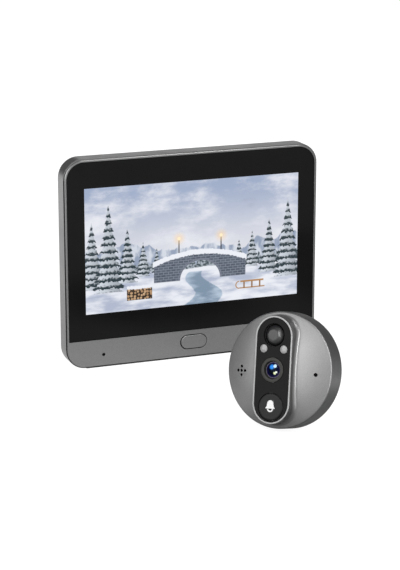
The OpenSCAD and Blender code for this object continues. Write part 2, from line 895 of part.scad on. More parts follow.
// Section of the camera's domed body
module dome_section() {
  flat_r = cam_r - cam_edge;
  intersection() {
    translate([0, -cam_band]) square([flat_r, cam_band + cam_edge + dome_rise]);
    translate([0, -dome_mid]) circle(dome_r, $fn = 256);
  }
  translate([flat_r, -cam_band]) square([cam_edge, cam_band]);
  translate([flat_r, 0]) intersection() {
    circle(cam_edge);
    square(cam_edge);
  }
}

// Section of the hollow behind the dome
module hollow_section(wall) {
  intersection() {
    translate([0, -cam_band - over]) square([cam_r - wall, cam_band + over + cam_edge + dome_rise]);
    translate([0, -dome_mid]) circle(dome_r - wall, $fn = 256);
  }
}

// Place children at the four cover screws
module at_cover_screws() {
  for (a = [45:90:315]) rotate(a) translate([cover_screw_r, 0, 0]) children();
}

// Place children at the five sound holes of the camera
module at_sound_holes() {
  translate([-cam_speaker_left, -side_hole_down, 0]) {
    children();
    for (a = [0:90:270]) rotate(a) translate([speaker_hole_pitch, 0, 0]) children();
  }
}

// Place children at the two night lights
module at_leds() {
  for (s = [-1, 1]) translate([s * led_side, led_up, 0]) children();
}

module camera_cover() {
  front = -boss_rise - over;
  root = -cam_edge - dome_rise;
  collar_r = cam_speaker_r + fit_gap;
  collar_back = 2.2;
  collar_wall = 1;
  color("#8e8f91") place_camera() difference() {
    union() {
      difference() {
        union() {
          rotate_extrude() dome_section();
          slab(-boss_rise, 0) stadium(boss_w, boss_h);
        }
        rotate_extrude() hollow_section(cover_wall);
        slab(floor_back, over) stadium(boss_w - 2 * cover_wall, boss_h - 2 * cover_wall);
      }
      tube(cam_inner_r + over / 2, cam_inner_r - seal_w, seal_front - ledge_ring_t, seal_front);
      intersection() {
        rotate_extrude() hollow_section(cover_wall / 2);
        union() {
          at_cover_screws() {
            peg(post_shoulder_r, root, cam_board_d);
            peg(spigot_r, root, base_front);
          }
          translate([cam_speaker_x, -side_hole_down, 0])
            tube(collar_r + collar_wall, collar_r, root, collar_back);
        }
      }
    }
    slab(front, floor_front) stadium(fascia_w + 2 * fit_gap, fascia_h + 2 * fit_gap);
    translate([0, pir_up, 0]) peg(pir_d / 2, front, floor_back + over);
    peg(ring_sleeve_r + fit_gap, front, floor_back + over);
    at_leds() peg(led_d / 2 + fit_gap, front, floor_back + over);
    translate([0, -bell_down, 0]) {
      peg(bell_d / 2 + slide_gap, front, bell_pocket);
      peg(bell_stem_r + slide_gap, front, floor_back + over);
    }
    at_sound_holes() peg(speaker_hole_d / 2, front, over);
    translate([cam_mic_right, -side_hole_down, 0]) peg(cam_mic_d / 2, front, over);
    at_cover_screws() peg(cover_screw_shaft_r + screw_gap, cam_board_d, base_front + over);
  }
}

module camera_base() {
  head_r = cover_head_r + fit_gap;
  insert_x = insert_pcd / 2;
  color("#3a3b3d") place_camera() difference() {
    union() {
      peg(base_r, base_front, cam_band);
      peg(peephole_d / 2, cam_band, cam_band + peephole_len);
      for (s = [-1, 1]) translate([s * insert_x, 0, 0]) peg(insert_boss_r, insert_front, cam_band);
    }
    peg(peephole_d / 2 - outlet_wall, base_front - over, cam_band + peephole_len + over);
    for (s = [-1, 1]) translate([s * insert_x, 0, 0])
      peg(insert_r + screw_gap, insert_front + insert_floor, cam_band + over);
    at_cover_screws() {
      peg(cover_screw_shaft_r + shaft_gap, base_front - over, cam_band + over);
      peg(head_r, cover_floor, cam_band + over);
    }
  }
}

module base_seal() {
  color("#1c1c1c") place_camera()
    tube(cam_inner_r - fit_gap, cam_inner_r - seal_w + fit_gap, seal_front, base_front);
}

module fascia_plate() {
  front = fascia_front - over;
  back = fascia_back + over;
  color("#1a1b1d") place_camera() difference() {
    slab(fascia_front, fascia_back) stadium(fascia_w, fascia_h);
    translate([0, pir_up, 0]) peg(pir_d / 2, front, back);
    peg(lens_ring_d / 2 + fit_gap, front, back);
    at_leds() peg(led_d / 2 + fit_gap, front, back);
    translate([0, -bell_down, 0]) peg(bell_d / 2 + slide_gap, front, back);
  }
}

module fascia_tape() {
  tape_in = 0.4;
  front = fascia_back - over;
  back = floor_front + over;
  color("#2a2a2a") place_camera() difference() {
    slab(fascia_back, floor_front) stadium(fascia_w - 2 * tape_in, fascia_h - 2 * tape_in);
    translate([0, pir_up, 0]) peg(pir_d / 2 + tape_in, front, back);
    peg(lens_ring_d / 2 + fit_gap, front, back);
    at_leds() peg(led_d / 2 + tape_in / 2, front, back);
    translate([0, -bell_down, 0]) peg(bell_d / 2 + tape_in / 2, front, back);
  }
}

// Cap of a sphere standing on a depth, bulging forwards
module bulge(r, rise, depth) {
  ball_r = (r * r + rise * rise) / (2 * rise);
  intersection() {
    peg(r, depth - rise - over, depth);
    translate([0, 0, -depth + rise - ball_r]) sphere(ball_r, $fn = 128);
  }
}

// Cup with a round shoulder and a flat top, standing in a groove
module pir_lens() {
  flange_end = 0.9;
  ball_up = (pow(pir_top_r, 2) + pow(pir_dome, 2) - pow(pir_neck_r, 2)) / (2 * pir_dome);
  ball_r = sqrt(pow(pir_neck_r, 2) + pow(ball_up, 2));
  color("#3c3d40") place_camera() translate([0, pir_up, 0]) {
    peg(pir_r, pir_shelf, floor_back + fit_gap);
    peg(pir_flange_r, floor_back + fit_gap, floor_back + flange_end);
    peg(pir_neck_r, pir_shoulder, pir_shelf);
    intersection() {
      peg(pir_neck_r, pir_shoulder - pir_dome, pir_shoulder);
      translate([0, 0, ball_up - pir_shoulder]) sphere(ball_r, $fn = 128);
    }
  }
}

module pir_sensor() {
  base_lip = 0.4;
  color("#c2c4c6") place_camera() translate([0, pir_up, 0]) {
    peg(pir_can_r, cam_board_d - pir_can_len, cam_board_d);
    peg(pir_can_r + base_lip, cam_board_d - base_lip, cam_board_d);
  }
}

// Night lights with shallow caps, flush with the fascia plate
module ir_leds() {
  lip_t = 1;
  cap_rise = 0.25;
  neck = fascia_front + cap_rise;
  color("#d8dde2") place_camera() at_leds() {
    peg(led_d / 2, neck, cam_board_d);
    peg(led_d / 2 + led_lip, cam_board_d - lip_t, cam_board_d);
    bulge(led_d / 2 - screw_gap, cap_rise, neck);
  }
}

// Ring whose lip holds the barrel and flares a little round the front lens
module lens_ring() {
  lip_gap = 0.15;
  lip_flare = 0.25;
  lip_r = lens_d / 2 + lip_gap;
  sleeve_reach = 0.6;
  sleeve_back = floor_back + sleeve_reach;
  color("#4a4b4d") place_camera() difference() {
    union() {
      peg(lens_ring_d / 2, ring_front, floor_front);
      peg(ring_sleeve_r, floor_front, sleeve_back);
    }
    peg(barrel_r + fit_gap, barrel_front, sleeve_back + over);
    peg(lip_r, ring_front - over, barrel_front + over);
    translate([0, 0, -barrel_front]) cylinder(r1 = lip_r, r2 = lip_r + lip_flare, h = hood_depth);
    translate([0, 0, -ring_front]) cylinder(r = lip_r + lip_flare, h = over);
  }
}

module lens_barrel() {
  stop_wall = 0.6;
  stop_r = inner_lens_r - stop_wall;
  color("#1d1d1f") place_camera() difference() {
    peg(barrel_r, barrel_front, barrel_back);
    peg(lens_d / 2 + screw_gap, barrel_front - over, lens_seat + lens_edge_t);
    peg(inner_lens_r + screw_gap, barrel_front, inner_lens_front + lens_edge_t);
    peg(stop_r, barrel_front, barrel_back + over);
  }
}

module lens_front_element() {
  color("#24406e") place_camera() {
    peg(lens_d / 2, lens_seat, lens_seat + lens_edge_t);
    bulge(lens_d / 2 - screw_gap, lens_bulge, lens_seat);
  }
}

module lens_inner_element() {
  color("#2d4f80") place_camera() {
    peg(inner_lens_r, inner_lens_front, inner_lens_front + lens_edge_t);
    bulge(inner_lens_r - screw_gap, inner_bulge, inner_lens_front);
  }
}

module image_sensor() {
  color("#30343a") place_camera() slab(cam_board_d - sensor_t, cam_board_d) square(sensor_w, center = true);
}

module sensor_holder() {
  color("#232325") place_camera() difference() {
    slab(holder_front, cam_board_d) square([holder_w, holder_h], center = true);
    peg(barrel_r + screw_gap, holder_front - over, barrel_back);
    slab(barrel_back - fit_gap, cam_board_d + over) square(sensor_w + 2 * fit_gap, center = true);
  }
}

module bell_button() {
  color("#2f3033") place_camera() translate([0, -bell_down, 0]) {
    rotate_extrude() {
      translate([0, -bell_cap_back]) square([bell_d / 2 - bell_edge, bell_cap_back - bell_face]);
      edge_section(bell_d / 2, bell_edge, bell_face, bell_cap_back);
    }
    peg(bell_stem_r, bell_cap_back, bell_flange_front);
    peg(bell_flange_r, bell_flange_front, bell_flange_back);
  }
}

// Bell pictogram: round crown, flared skirt and a crescent clapper below it
module bell_outline() {
  h = bell_symbol_h;
  crown_r = 0.28 * h;
  crown_y = 0.22 * h;
  waist_r = 0.32 * h;
  skirt_r = 0.435 * h;
  skirt_y = -0.16 * h;
  brim_y = -0.19 * h;
  clapper_r = 0.296 * h;
  clapper_in_r = 0.15 * h;
  tuck = 0.02 * h;
  crown = [for (a = [0:6:180]) [crown_r * cos(a), crown_y + crown_r * sin(a)]];
  skirt = [
    [-waist_r, 0], [-skirt_r, skirt_y], [-skirt_r, brim_y],
    [skirt_r, brim_y], [skirt_r, skirt_y], [waist_r, 0]
  ];
  polygon(concat(crown, skirt));
  translate([0, brim_y]) difference() {
    circle(clapper_r);
    circle(clapper_in_r);
    translate([-h / 2, tuck]) square([h, h / 2]);
  }
}

module bell_symbol() {
  color("#d9dadc") place_camera() translate([0, -bell_down, 0])
    slab(bell_face - bell_symbol_t, bell_face) bell_outline();
}

module bell_switch() {
  color("#2b2b2d") place_camera() translate([0, -bell_down, 0])
    switch_body(bell_switch_front, cam_board_d, bell_plunger_back + bell_travel + stop_gap);
}

module bell_switch_plunger() {
  color("#d8d4c8") place_camera() translate([0, -bell_down, 0])
    peg(plunger_r, bell_flange_back, bell_plunger_back);
}

module camera_board() {
  color("#1f5a3a") place_camera() difference() {
    peg(cam_board_r, cam_board_d, cam_board_back);
    at_cover_screws() peg(spigot_r + fit_gap, cam_board_d - over, cam_board_back + over);
  }
}

module camera_speaker() {
  cone_r = cam_speaker_r - cam_speaker_lip;
  cone_sink = 0.6;
  color("#4a4a4c") place_camera() translate([cam_speaker_x, -side_hole_down, 0]) difference() {
    peg(cam_speaker_r, cam_speaker_front, cam_speaker_back);
    peg(cone_r, cam_speaker_front - over, cam_speaker_front + cone_sink);
  }
}

module camera_speaker_gasket() {
  front = cam_speaker_front - speaker_gasket_t;
  color("#303030") place_camera() translate([cam_speaker_x, -side_hole_down, 0])
    tube(cam_speaker_r, cam_speaker_r - cam_speaker_lip, front, cam_speaker_front);
}

module camera_microphone() {
  color("#b9babc") place_camera() translate([cam_mic_right, -side_hole_down, 0])
    capsule(cam_capsule_front, cam_board_d);
}

module camera_mic_boot() {
  color("#1b1b1b") place_camera() translate([cam_mic_right, -side_hole_down, 0])
    boot(cam_boot_r, cam_boot_front, cam_capsule_front, cam_board_d, cam_mic_d);
}

module ribbon_outlet() {
  plug_r = peephole_d / 2 - outlet_wall - screw_gap;
  slot_w = 1.4 * plug_r;
  slot_t = 1;
  plug_proud = 0.4;
  plug_sink = 0.3;
  front = base_front - plug_proud;
  back = cam_band + peephole_len - plug_sink;
  color("#1c1c1c") place_camera() difference() {
    peg(plug_r, front, back);
    slab(front - over, back + over) square([slot_w, slot_t], center = true);
  }
}

module mounting_inserts() {
  color("#b08d45") place_camera() for (s = [-1, 1]) translate([s * insert_pcd / 2, 0, 0])
    tube(insert_r, insert_bore_r, insert_front + insert_floor, cam_band);
}

module foam_ring() {
  color("#4b4c4e") place_camera() tube(foam_out_r, foam_in_r, cam_band, foam_back);
}

module cover_screws() {
  tip_gap = 0.4;
  slot_w = 0.5;
  slot_d = 0.45;
  head_back = cover_floor + cover_head_t;
  color("#8a8c8e") place_camera() at_cover_screws() difference() {
    union() {
      peg(cover_screw_shaft_r, cam_board_d + tip_gap, cover_floor);
      peg(cover_head_r, cover_floor, head_back);
    }
    slab(head_back - slot_d, head_back + over) {
      square([2 * cover_screw_shaft_r, slot_w], center = true);
      square([slot_w, 2 * cover_screw_shaft_r], center = true);
    }
  }
}

front_bezel();
screen_glass();
glass_tape();
lcd_panel();
lcd_backlight();
home_button();
home_switch();
home_switch_plunger();
button_board();
monitor_microphone();
mic_boot();
main_board();
main_chips();
battery_pack();
battery_foam();
monitor_speaker();
speaker_gasket();
wifi_antenna();
ribbon_socket();
usb_socket();
back_shell();
shell_screws();
board_screws();
camera_cover();
camera_base();
base_seal();
fascia_plate();
fascia_tape();
pir_lens();
pir_sensor();
ir_leds();
lens_ring();
lens_barrel();
lens_front_element();
lens_inner_element();
image_sensor();
sensor_holder();
bell_button();
bell_symbol();
bell_switch();
bell_switch_plunger();
camera_board();
camera_speaker();
camera_speaker_gasket();
camera_microphone();
camera_mic_boot();
ribbon_outlet();
mounting_inserts();
foam_ring();
cover_screws();
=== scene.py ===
"""Peephole door camera: the looks of the monitor and of the round camera unit, built around their solids.

Both units are modelled in a face frame: x to the right, y up, z out of the face.
A depth is counted backwards from the unit's front plane. All lengths are in metres.
"""

import json
import math

import bmesh
import bpy
from bpy.props import FloatProperty, FloatVectorProperty, PointerProperty
from bpy.types import Operator, Panel, PropertyGroup
from mathutils import Matrix, Vector


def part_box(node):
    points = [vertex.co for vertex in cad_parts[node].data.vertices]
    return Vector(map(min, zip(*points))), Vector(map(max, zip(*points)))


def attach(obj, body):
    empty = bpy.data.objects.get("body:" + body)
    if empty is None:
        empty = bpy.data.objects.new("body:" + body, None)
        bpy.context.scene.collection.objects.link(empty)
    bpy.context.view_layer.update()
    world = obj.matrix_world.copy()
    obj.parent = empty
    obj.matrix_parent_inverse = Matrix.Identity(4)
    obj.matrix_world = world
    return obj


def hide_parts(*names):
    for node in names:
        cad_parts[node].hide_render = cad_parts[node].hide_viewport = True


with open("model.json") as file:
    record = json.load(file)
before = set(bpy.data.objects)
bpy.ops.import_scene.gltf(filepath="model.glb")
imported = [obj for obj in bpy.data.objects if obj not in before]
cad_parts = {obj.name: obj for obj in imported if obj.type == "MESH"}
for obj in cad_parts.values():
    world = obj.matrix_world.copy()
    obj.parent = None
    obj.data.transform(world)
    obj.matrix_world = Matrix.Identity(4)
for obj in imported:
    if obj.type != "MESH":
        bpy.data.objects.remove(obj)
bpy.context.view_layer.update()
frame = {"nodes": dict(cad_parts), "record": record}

bl_info = {
    "name": "Peephole Door Camera",
    "version": (1, 0, 0),
    "blender": (4, 5, 0),
    "location": "View3D > Sidebar > Door Camera",
    "description": "Builds a door monitor and its round camera unit around their solids",
    "category": "Add Mesh",
}

TINY = 1e-6
# Steps of a full turn, for large round forms, small ones, holes and the grille
LARGE_TURN, SMALL_TURN, HOLE_TURN, GRILLE_TURN = 96, 48, 32, 24
# Steps of a round corner and of half a round end
CORNER_STEPS, END_STEPS = 14, 16
BEZEL_LOW, BEZEL_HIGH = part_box("front_bezel")
GLASS_LOW, GLASS_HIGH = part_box("screen_glass")
SHELL_LOW, SHELL_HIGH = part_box("back_shell")
HOME_LOW, HOME_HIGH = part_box("home_button")
FRONT = BEZEL_LOW.y
MOUNTS = {mount["name"]: mount for mount in frame["record"]["mounts"]}
SLOT_COLOURS = {slot["slot"]: slot["base_color"][:3] for slot in frame["record"]["materials"]}
SLOT_OF_NODE = {part["node"]: part["material_slot"] for part in frame["record"]["subparts"]}


def length(name, description, default):
    """A length that a user may change."""
    return FloatProperty(name=name, description=description, default=default, unit="LENGTH", precision=5)


def colour(name, description, default):
    """A surface colour that a user may change."""
    return FloatVectorProperty(
        name=name, description=description, default=default, subtype="COLOR", size=3, min=0.0, max=1.0
    )


def angle(name, description, degrees):
    """An angle that a user may change."""
    return FloatProperty(name=name, description=description, default=math.radians(degrees), subtype="ANGLE")


class MonitorSizes(PropertyGroup):
    """Sizes of the indoor monitor."""

    width: length("Width", "Width of the monitor", SHELL_HIGH.x - SHELL_LOW.x)
    height: length("Height", "Height of the monitor", SHELL_HIGH.z)
    corner: length("Corner radius", "Radius of the monitor's corners", 0.010)
    bezel_edge: length("Bezel edge", "Bevel of the bezel's front edge", 0.0003)
    bezel_lip: length("Bezel lip", "Thickness of the bezel's lip in front of the shadow groove", 0.0004)
    lip_inset: length("Lip inset", "Inset of the bezel's lip from the monitor's outline", 0.0005)
    groove_depth: length("Groove depth", "Depth of the shadow groove", 0.0006)
    bezel_depth: length("Bezel depth", "Depth of the bezel's body behind the lip", 0.0019)
    ledge_front: length("Ledge front", "Depth of the ledge that carries the glass", 0.00145)
    ledge_back: length("Ledge back", "Depth of the ledge's back", 0.00265)
    tongue_inset: length("Tongue inset", "Distance of the tongue from the outside", 0.00175)
    tongue_wall: length("Tongue wall", "Thickness of the tongue", 0.0012)
    tongue_back: length("Tongue back", "Depth of the tongue's end", BEZEL_HIGH.y - FRONT - 0.0005)
    mouth_edge: length("Mouth edge", "Rounding at the mouth of a hole or recess", 0.00008)
    glass_gap: length("Glass gap", "Gap between glass and bezel", 0.0001)
    glass_corner: length("Glass corner", "Radius of the glass's upper corners", 0.0085)
    glass_edge: length("Glass edge", "Rounding of the glass's front edge", 0.00022)
    screen_width: length("Screen width", "Width of the lit screen", 0.1107)
    screen_height: length("Screen height", "Height of the lit screen", 0.06195)
    screen_margin: length("Screen margin", "Black border below the lit screen", 0.0131)
    window_margin: length("Window margin", "Border of the display opening round the screen", 0.0043)
    home_edge: length("Home edge", "Rounding of the home button's edge", 0.00035)
    home_lip: length("Home lip", "Overhang of the home button's flange", 0.0008)
    home_flange: length("Home flange", "Thickness of the home button's flange", 0.0007)
    home_proud: length("Home height", "Height of the home button's face above the chin", 0.0003)
    home_gap: length("Home gap", "Gap round the home button", 0.00035)
    home_play: length("Home play", "Distance of the home button right of its hole's middle", 0.00015)
    mic_inset: length("Microphone inset", "Distance of the microphone from the left side", 0.0188)
    mic_up: length("Microphone height", "Height of the microphone above the bottom", 0.0062)
    mic_hole: length("Microphone hole", "Diameter of the microphone hole", 0.0016)
    shell_back: length("Back", "Depth of the flat back", 0.0127)
    shell_wall: length("Shell wall", "Wall thickness of the back shell", 0.0016)
    shell_round: length("Shell round", "Rounding of the back edge", 0.004)
    shell_lip: length("Shell lip", "Thickness of the back shell's lip round the bezel", 0.00045)
    shell_edge: length("Shell edge", "Rounding of the back shell's front edge", 0.00008)
    shell_seat: length("Shell seat", "Depth where the back shell's full wall starts", 0.0020)
    pad_width: length("Pad width", "Width of the bracket pad", 0.084)
    pad_height: length("Pad height", "Height of the bracket pad", 0.058)
    pad_corner: length("Pad corner", "Corner radius of the bracket pad", 0.006)
    pad_edge: length("Pad edge", "Rounding of the bracket pad's edge", 0.001)
    hole_edge: length("Hole edge", "Rounding of the openings in the back", 0.0003)
    ribbon_width: length("Ribbon window", "Width of the ribbon window", 0.023)
    ribbon_height: length("Ribbon window height", "Height of the ribbon window", 0.0034)
    ribbon_drop: length("Ribbon drop", "Distance of the ribbon window below the top", 0.0152)
    ribbon_right: length("Ribbon right", "Distance of the ribbon window right of the middle", 0.018)
    grille_right: length("Grille right", "Distance of the speaker grille right of the middle", 0.036)
    grille_up: length("Grille height", "Height of the speaker grille above the bottom", 0.0128)
    grille_pitch: length("Grille pitch", "Pitch of the sound holes in the back", 0.0026)
    grille_hole: length("Grille hole", "Diameter of a sound hole in the back", 0.0013)
    screw_inset: length("Screw inset", "Distance of the corner screws from the sides", 0.0105)
    screw_rise: length("Screw rise", "Distance of the corner screws from top and bottom", 0.007)
    screw_recess: length("Screw recess", "Diameter of a corner screw's recess", 0.0044)
    screw_depth: length("Screw depth", "Depth of a corner screw's recess", 0.0012)
    usb_up: length("Socket height", "Height of the charging socket above the bottom", 0.040)
    usb_depth: length("Socket depth", "Depth of the charging socket's middle", 0.00902)
    usb_width: length("Socket width", "Width of the charging socket's opening", 0.0079)
    usb_height: length("Socket opening", "Height of the charging socket's opening", 0.0033)


class CameraSizes(PropertyGroup):
    """Sizes of the round camera unit. Heights are counted from the plane of its front rim."""

    radius: length("Radius", "Outer radius of the camera unit", 0.0257)
    band: length("Side", "Depth of the camera unit's side", 0.0093)
    rim_edge: length("Rim edge", "Rounding of the front rim", 0.0008)
    dome_top: length("Dome top", "Height of the dome's middle", 0.0046)
    dome_radius: length("Dome radius", "Radius of the dome", 0.08075)
    wall: length("Wall", "Wall thickness of the cover", 0.0016)
    boss_width: length("Boss width", "Width of the flat boss", 0.0182)
    boss_height: length("Boss height", "Height of the flat boss, upwards", 0.0472)
    boss_top: length("Boss top", "Height of the boss's land", 0.0071)
    boss_edge: length("Boss edge", "Rounding of the land's outer edge", 0.0002)
    boss_foot: length("Boss foot", "Fillet where the boss's long sides meet the dome", 0.0018)
    land: length("Land", "Width of the land with the gap round the plate", 0.0008)
    floor_top: length("Pocket floor", "Height of the pocket's floor", 0.0056)
    floor_back: length("Floor back", "Height of the pocket floor's inner side", 0.0042)
    plate_gap: length("Plate gap", "Gap between the plate and the land", 0.0001)
    plate_top: length("Plate face", "Height of the black plate's face", 0.0070)
    plate_thick: length("Plate thickness", "Thickness of the black plate", 0.0012)
    pir_up: length("Motion sensor", "Height of the motion sensor above the middle", 0.0152)
    pir_hole: length("Motion opening", "Diameter of the motion sensor's opening", 0.0101)
    pir_shelf: length("Motion shelf", "Height of the shelf round the motion window", 0.0050)
    pir_shoulder: length("Motion shoulder", "Height where the motion window's shoulder starts", 0.0060)
    pir_top: length("Motion top", "Height of the motion window's flat top", 0.0077)
    pir_top_width: length("Motion top width", "Diameter of the motion window's flat top", 0.005)
    pir_rim: length("Motion rim", "Width of the shelf round the motion window", 0.0007)
    pir_flange: length("Motion flange", "Radius of the motion window's flange", 0.0056)
    led_side: length("Night light side", "Distance of a night light from the middle line", 0.0049)
    led_up: length("Night light height", "Height of the night lights above the middle", 0.0091)
    led_width: length("Night light", "Diameter of a night light", 0.0036)
    led_top: length("Night light tip", "Height of a night light's tip", 0.0070)
    led_rise: length("Night light cap", "Rise of a night light's cap", 0.00025)
    ring_width: length("Lens ring", "Diameter of the lens ring", 0.0108)
    ring_top: length("Lens ring face", "Height of the lens ring's face", 0.0073)
    lip_width: length("Lip", "Diameter of the lens ring's mouth", 0.0079)
    lip_bore: length("Lip bore", "Diameter of the lens ring's lip at the barrel", 0.0070)
    barrel_width: length("Barrel bore", "Diameter of the lens ring's bore", 0.0081)
    barrel_top: length("Barrel", "Height of the barrel's face", 0.0062)
    sleeve_width: length("Sleeve", "Diameter of the lens ring's sleeve", 0.0096)
    sleeve_drop: length("Sleeve drop", "Length of the sleeve behind the pocket's floor", 0.0006)
    lens_width: length("Front lens", "Diameter of the front lens", 0.0067)
    lens_seat: length("Lens seat", "Height of the front lens's edge", 0.0060)
    lens_bulge: length("Lens bulge", "Rise of the front lens", 0.0008)
    lens_thick: length("Lens edge", "Thickness of the front lens's edge", 0.0012)
    bell_down: length("Bell button", "Distance of the bell button below the middle", 0.0161)
    bell_width: length("Bell width", "Diameter of the bell button", 0.0119)
    bell_top: length("Bell face", "Height of the bell button's face", 0.00725)
    bell_edge: length("Bell edge", "Height of the bell button's rounded edge", 0.0004)
    bell_slope: length("Bell slope", "Width of the bell button's rounded edge", 0.0009)
    bell_flange: length("Bell flange", "Radius of the bell button's flange", 0.0052)
    bell_flange_thick: length("Bell flange thickness", "Thickness of the bell button's flange", 0.0009)
    bell_floor: length("Bell floor", "Height of the pocket under the bell button", 0.00505)
    bell_stem: length("Bell stem", "Radius of the bell button's stem", 0.0045)
    symbol_height: length("Symbol height", "Height of the bell symbol", 0.0053)
    symbol_up: length("Symbol rise", "Height of the bell symbol's middle above the button's middle", 0.0003)
    symbol_thick: length("Symbol print", "Thickness of the bell symbol", 0.00012)
    slide_gap: length("Slide gap", "Gap round a button that slides", 0.00015)
    speaker_left: length("Speaker holes", "Distance of the speaker holes left of the middle", 0.0176)
    speaker_pitch: length("Speaker pitch", "Pitch of the speaker holes", 0.0019)
    speaker_hole: length("Speaker hole", "Diameter of a speaker hole", 0.0013)
    mic_right: length("Microphone", "Distance of the microphone right of the middle", 0.0188)
    mic_hole: length("Microphone hole", "Diameter of the microphone hole", 0.0017)
    side_down: length("Side holes", "Distance of the side holes below the middle", 0.0011)
    roll: angle("Roll", "Turn of the camera unit about its own axis", -5.9)


class SetColours(PropertyGroup):
    """Colours of the finishes that show."""

    casing: colour("Casing", "Satin grey paint of both units", (0.145, 0.145, 0.145))
    glass: colour("Glass border", "Black print behind the front glass", (0.0041, 0.0041, 0.0041))
    # The plate's black also serves as the painted shade in grooves and holes
    plate: colour("Plate", "Gloss black plate of the camera", (0.0046, 0.0046, 0.0046))
    window: colour("Motion window", "Smoked window of the motion sensor", (0.012, 0.012, 0.013))
    disc: colour("Motion disc", "Milky top of the motion sensor's window", (0.015, 0.015, 0.015))
    ring: colour("Lens ring", "Dark metal of the lens ring", (0.0095, 0.0095, 0.008))
    lens: colour("Lens", "Coating of the front lens", (0.0015, 0.002, 0.025))
    button: colour("Bell button", "Dark plastic of the bell button", (0.0055, 0.0055, 0.0055))
    symbol: colour("Symbol", "Print of the bell symbol", (0.5, 0.5, 0.5))
    light: colour("Night light", "Milky resin of the night lights", (0.155, 0.155, 0.155))
    floor: colour("Floor", "Floor of the stage, without its glow", (0.2, 0.2, 0.2))


class StageSettings(PropertyGroup):
    """Camera and light of the stage."""

    lens: FloatProperty(
        name="Lens", description="Focal length of the camera", default=0.1226, unit="CAMERA"
    )
    turn: angle("Turn", "Turn of the camera to the left of the monitor's front", 20.94)
    tilt: angle("Tilt", "Tilt of the camera below the horizon", 14.93)
    place: FloatVectorProperty(
        name="Camera place",
        description="Place of the camera",
        default=(-0.32582, -0.86567, 0.2820),
        subtype="TRANSLATION",
        unit="LENGTH",
    )
    daylight: FloatProperty(name="Daylight", description="Strength of the light all round", default=0.35)


# Places


def monitor_place():
    """Matrix from the monitor's face frame to the set."""
    return Matrix.Translation((0.0, FRONT, 0.0)) @ Matrix.Rotation(math.radians(90.0), 4, "X")


def camera_place():
    """Matrix from the camera unit's face frame to the set, from its door mount."""
    size = bpy.context.scene.door_camera_unit
    mount = MOUNTS["door_screws"]
    back = Vector(mount["axis"]).normalized()
    level = back.cross(Vector((0.0, 0.0, 1.0))).normalized()
    upright = level.cross(back)
    right = math.cos(size.roll) * level - math.sin(size.roll) * upright
    up = math.sin(size.roll) * level + math.cos(size.roll) * upright
    origin = Vector(mount["pos_m"]) - back * size.band
    turn = Matrix((right, up, -back)).transposed().to_4x4()
    return Matrix.Translation(origin) @ turn


# Modelling steps


class editing:
    """Edit mode on one object, with nothing selected at first."""

    def __init__(self, obj):
        self.obj = obj

    def __enter__(self):
        choose(self.obj)
        bpy.ops.object.mode_set(mode="EDIT")
        bpy.ops.mesh.select_mode(type="EDGE")
        bpy.ops.mesh.select_all(action="DESELECT")
        return bmesh.from_edit_mesh(self.obj.data)

    def __exit__(self, *error):
        bpy.ops.object.mode_set(mode="OBJECT")


def choose(*objs):
    """Select these objects and nothing else; the first is active."""
    bpy.ops.object.select_all(action="DESELECT")
    for obj in objs:
        obj.select_set(True)
    bpy.context.view_layer.objects.active = objs[0]


def named(name):
    """Name the object that was just added."""
    obj = bpy.context.object
    obj.name = obj.data.name = name
    return obj


def block(name, width, low, high, front, back, middle=0.0):
    """A box in face coordinates, between two heights and two depths."""
    bpy.ops.object.select_all(action="DESELECT")
    bpy.ops.mesh.primitive_cube_add(size=1.0, location=(middle, (low + high) / 2, -(front + back) / 2))
    obj = named(name)
    obj.scale = (width, high - low, back - front)
    bpy.ops.object.transform_apply(location=True, rotation=True, scale=True)
    return obj


def round_edges(obj, radius, segments, wanted):
    """Bevel the edges that the test picks."""
    with editing(obj) as mesh:
        picked = [edge for edge in mesh.edges if wanted(edge)]
        if not picked:
            raise RuntimeError(f"{obj.name} has no edge to round")
        for edge in picked:
            edge.select_set(True)
        bmesh.update_edit_mesh(obj.data)
        bpy.ops.mesh.bevel(
            offset=radius, segments=segments, profile=0.5, affect="EDGES", clamp_overlap=False
        )
        bpy.ops.mesh.select_all(action="SELECT")
        bpy.ops.mesh.remove_doubles(threshold=TINY / 2)


def upright_edge(edge):
    """True for an edge that runs along the face's normal."""
    a, b = (vert.co for vert in edge.verts)
    return abs(a.x - b.x) < TINY and abs(a.y - b.y) < TINY


def edge_at(depth):
    """Test for edges that lie at one depth."""
    return lambda edge: all(abs(vert.co.z + depth) < TINY for vert in edge.verts)


def mouth_at(*depths):
    """Test for edges between a flat face at one of these depths and a wall."""

    def wanted(edge):
        if len(edge.link_faces) != 2 or not any(edge_at(depth)(edge) for depth in depths):
            return False
        lean = sorted(abs(face.normal.z) for face in edge.link_faces)
        return lean[0] < 0.05 and lean[1] > 0.999

    return wanted


def panel(name, width, low, high, front, back, corner, segments=CORNER_STEPS, middle=0.0):
    """A block with four round corners."""
    obj = block(name, width, low, high, front, back, middle)
    round_edges(obj, corner, segments, upright_edge)
    return obj


def oblong(name, width, height, at, front, back, segments=END_STEPS):
    """A block with round ends, standing or lying."""
    radius = min(width, height) / 2 - TINY
    return panel(
        name, width, at[1] - height / 2, at[1] + height / 2, front, back, radius, segments, middle=at[0]
    )


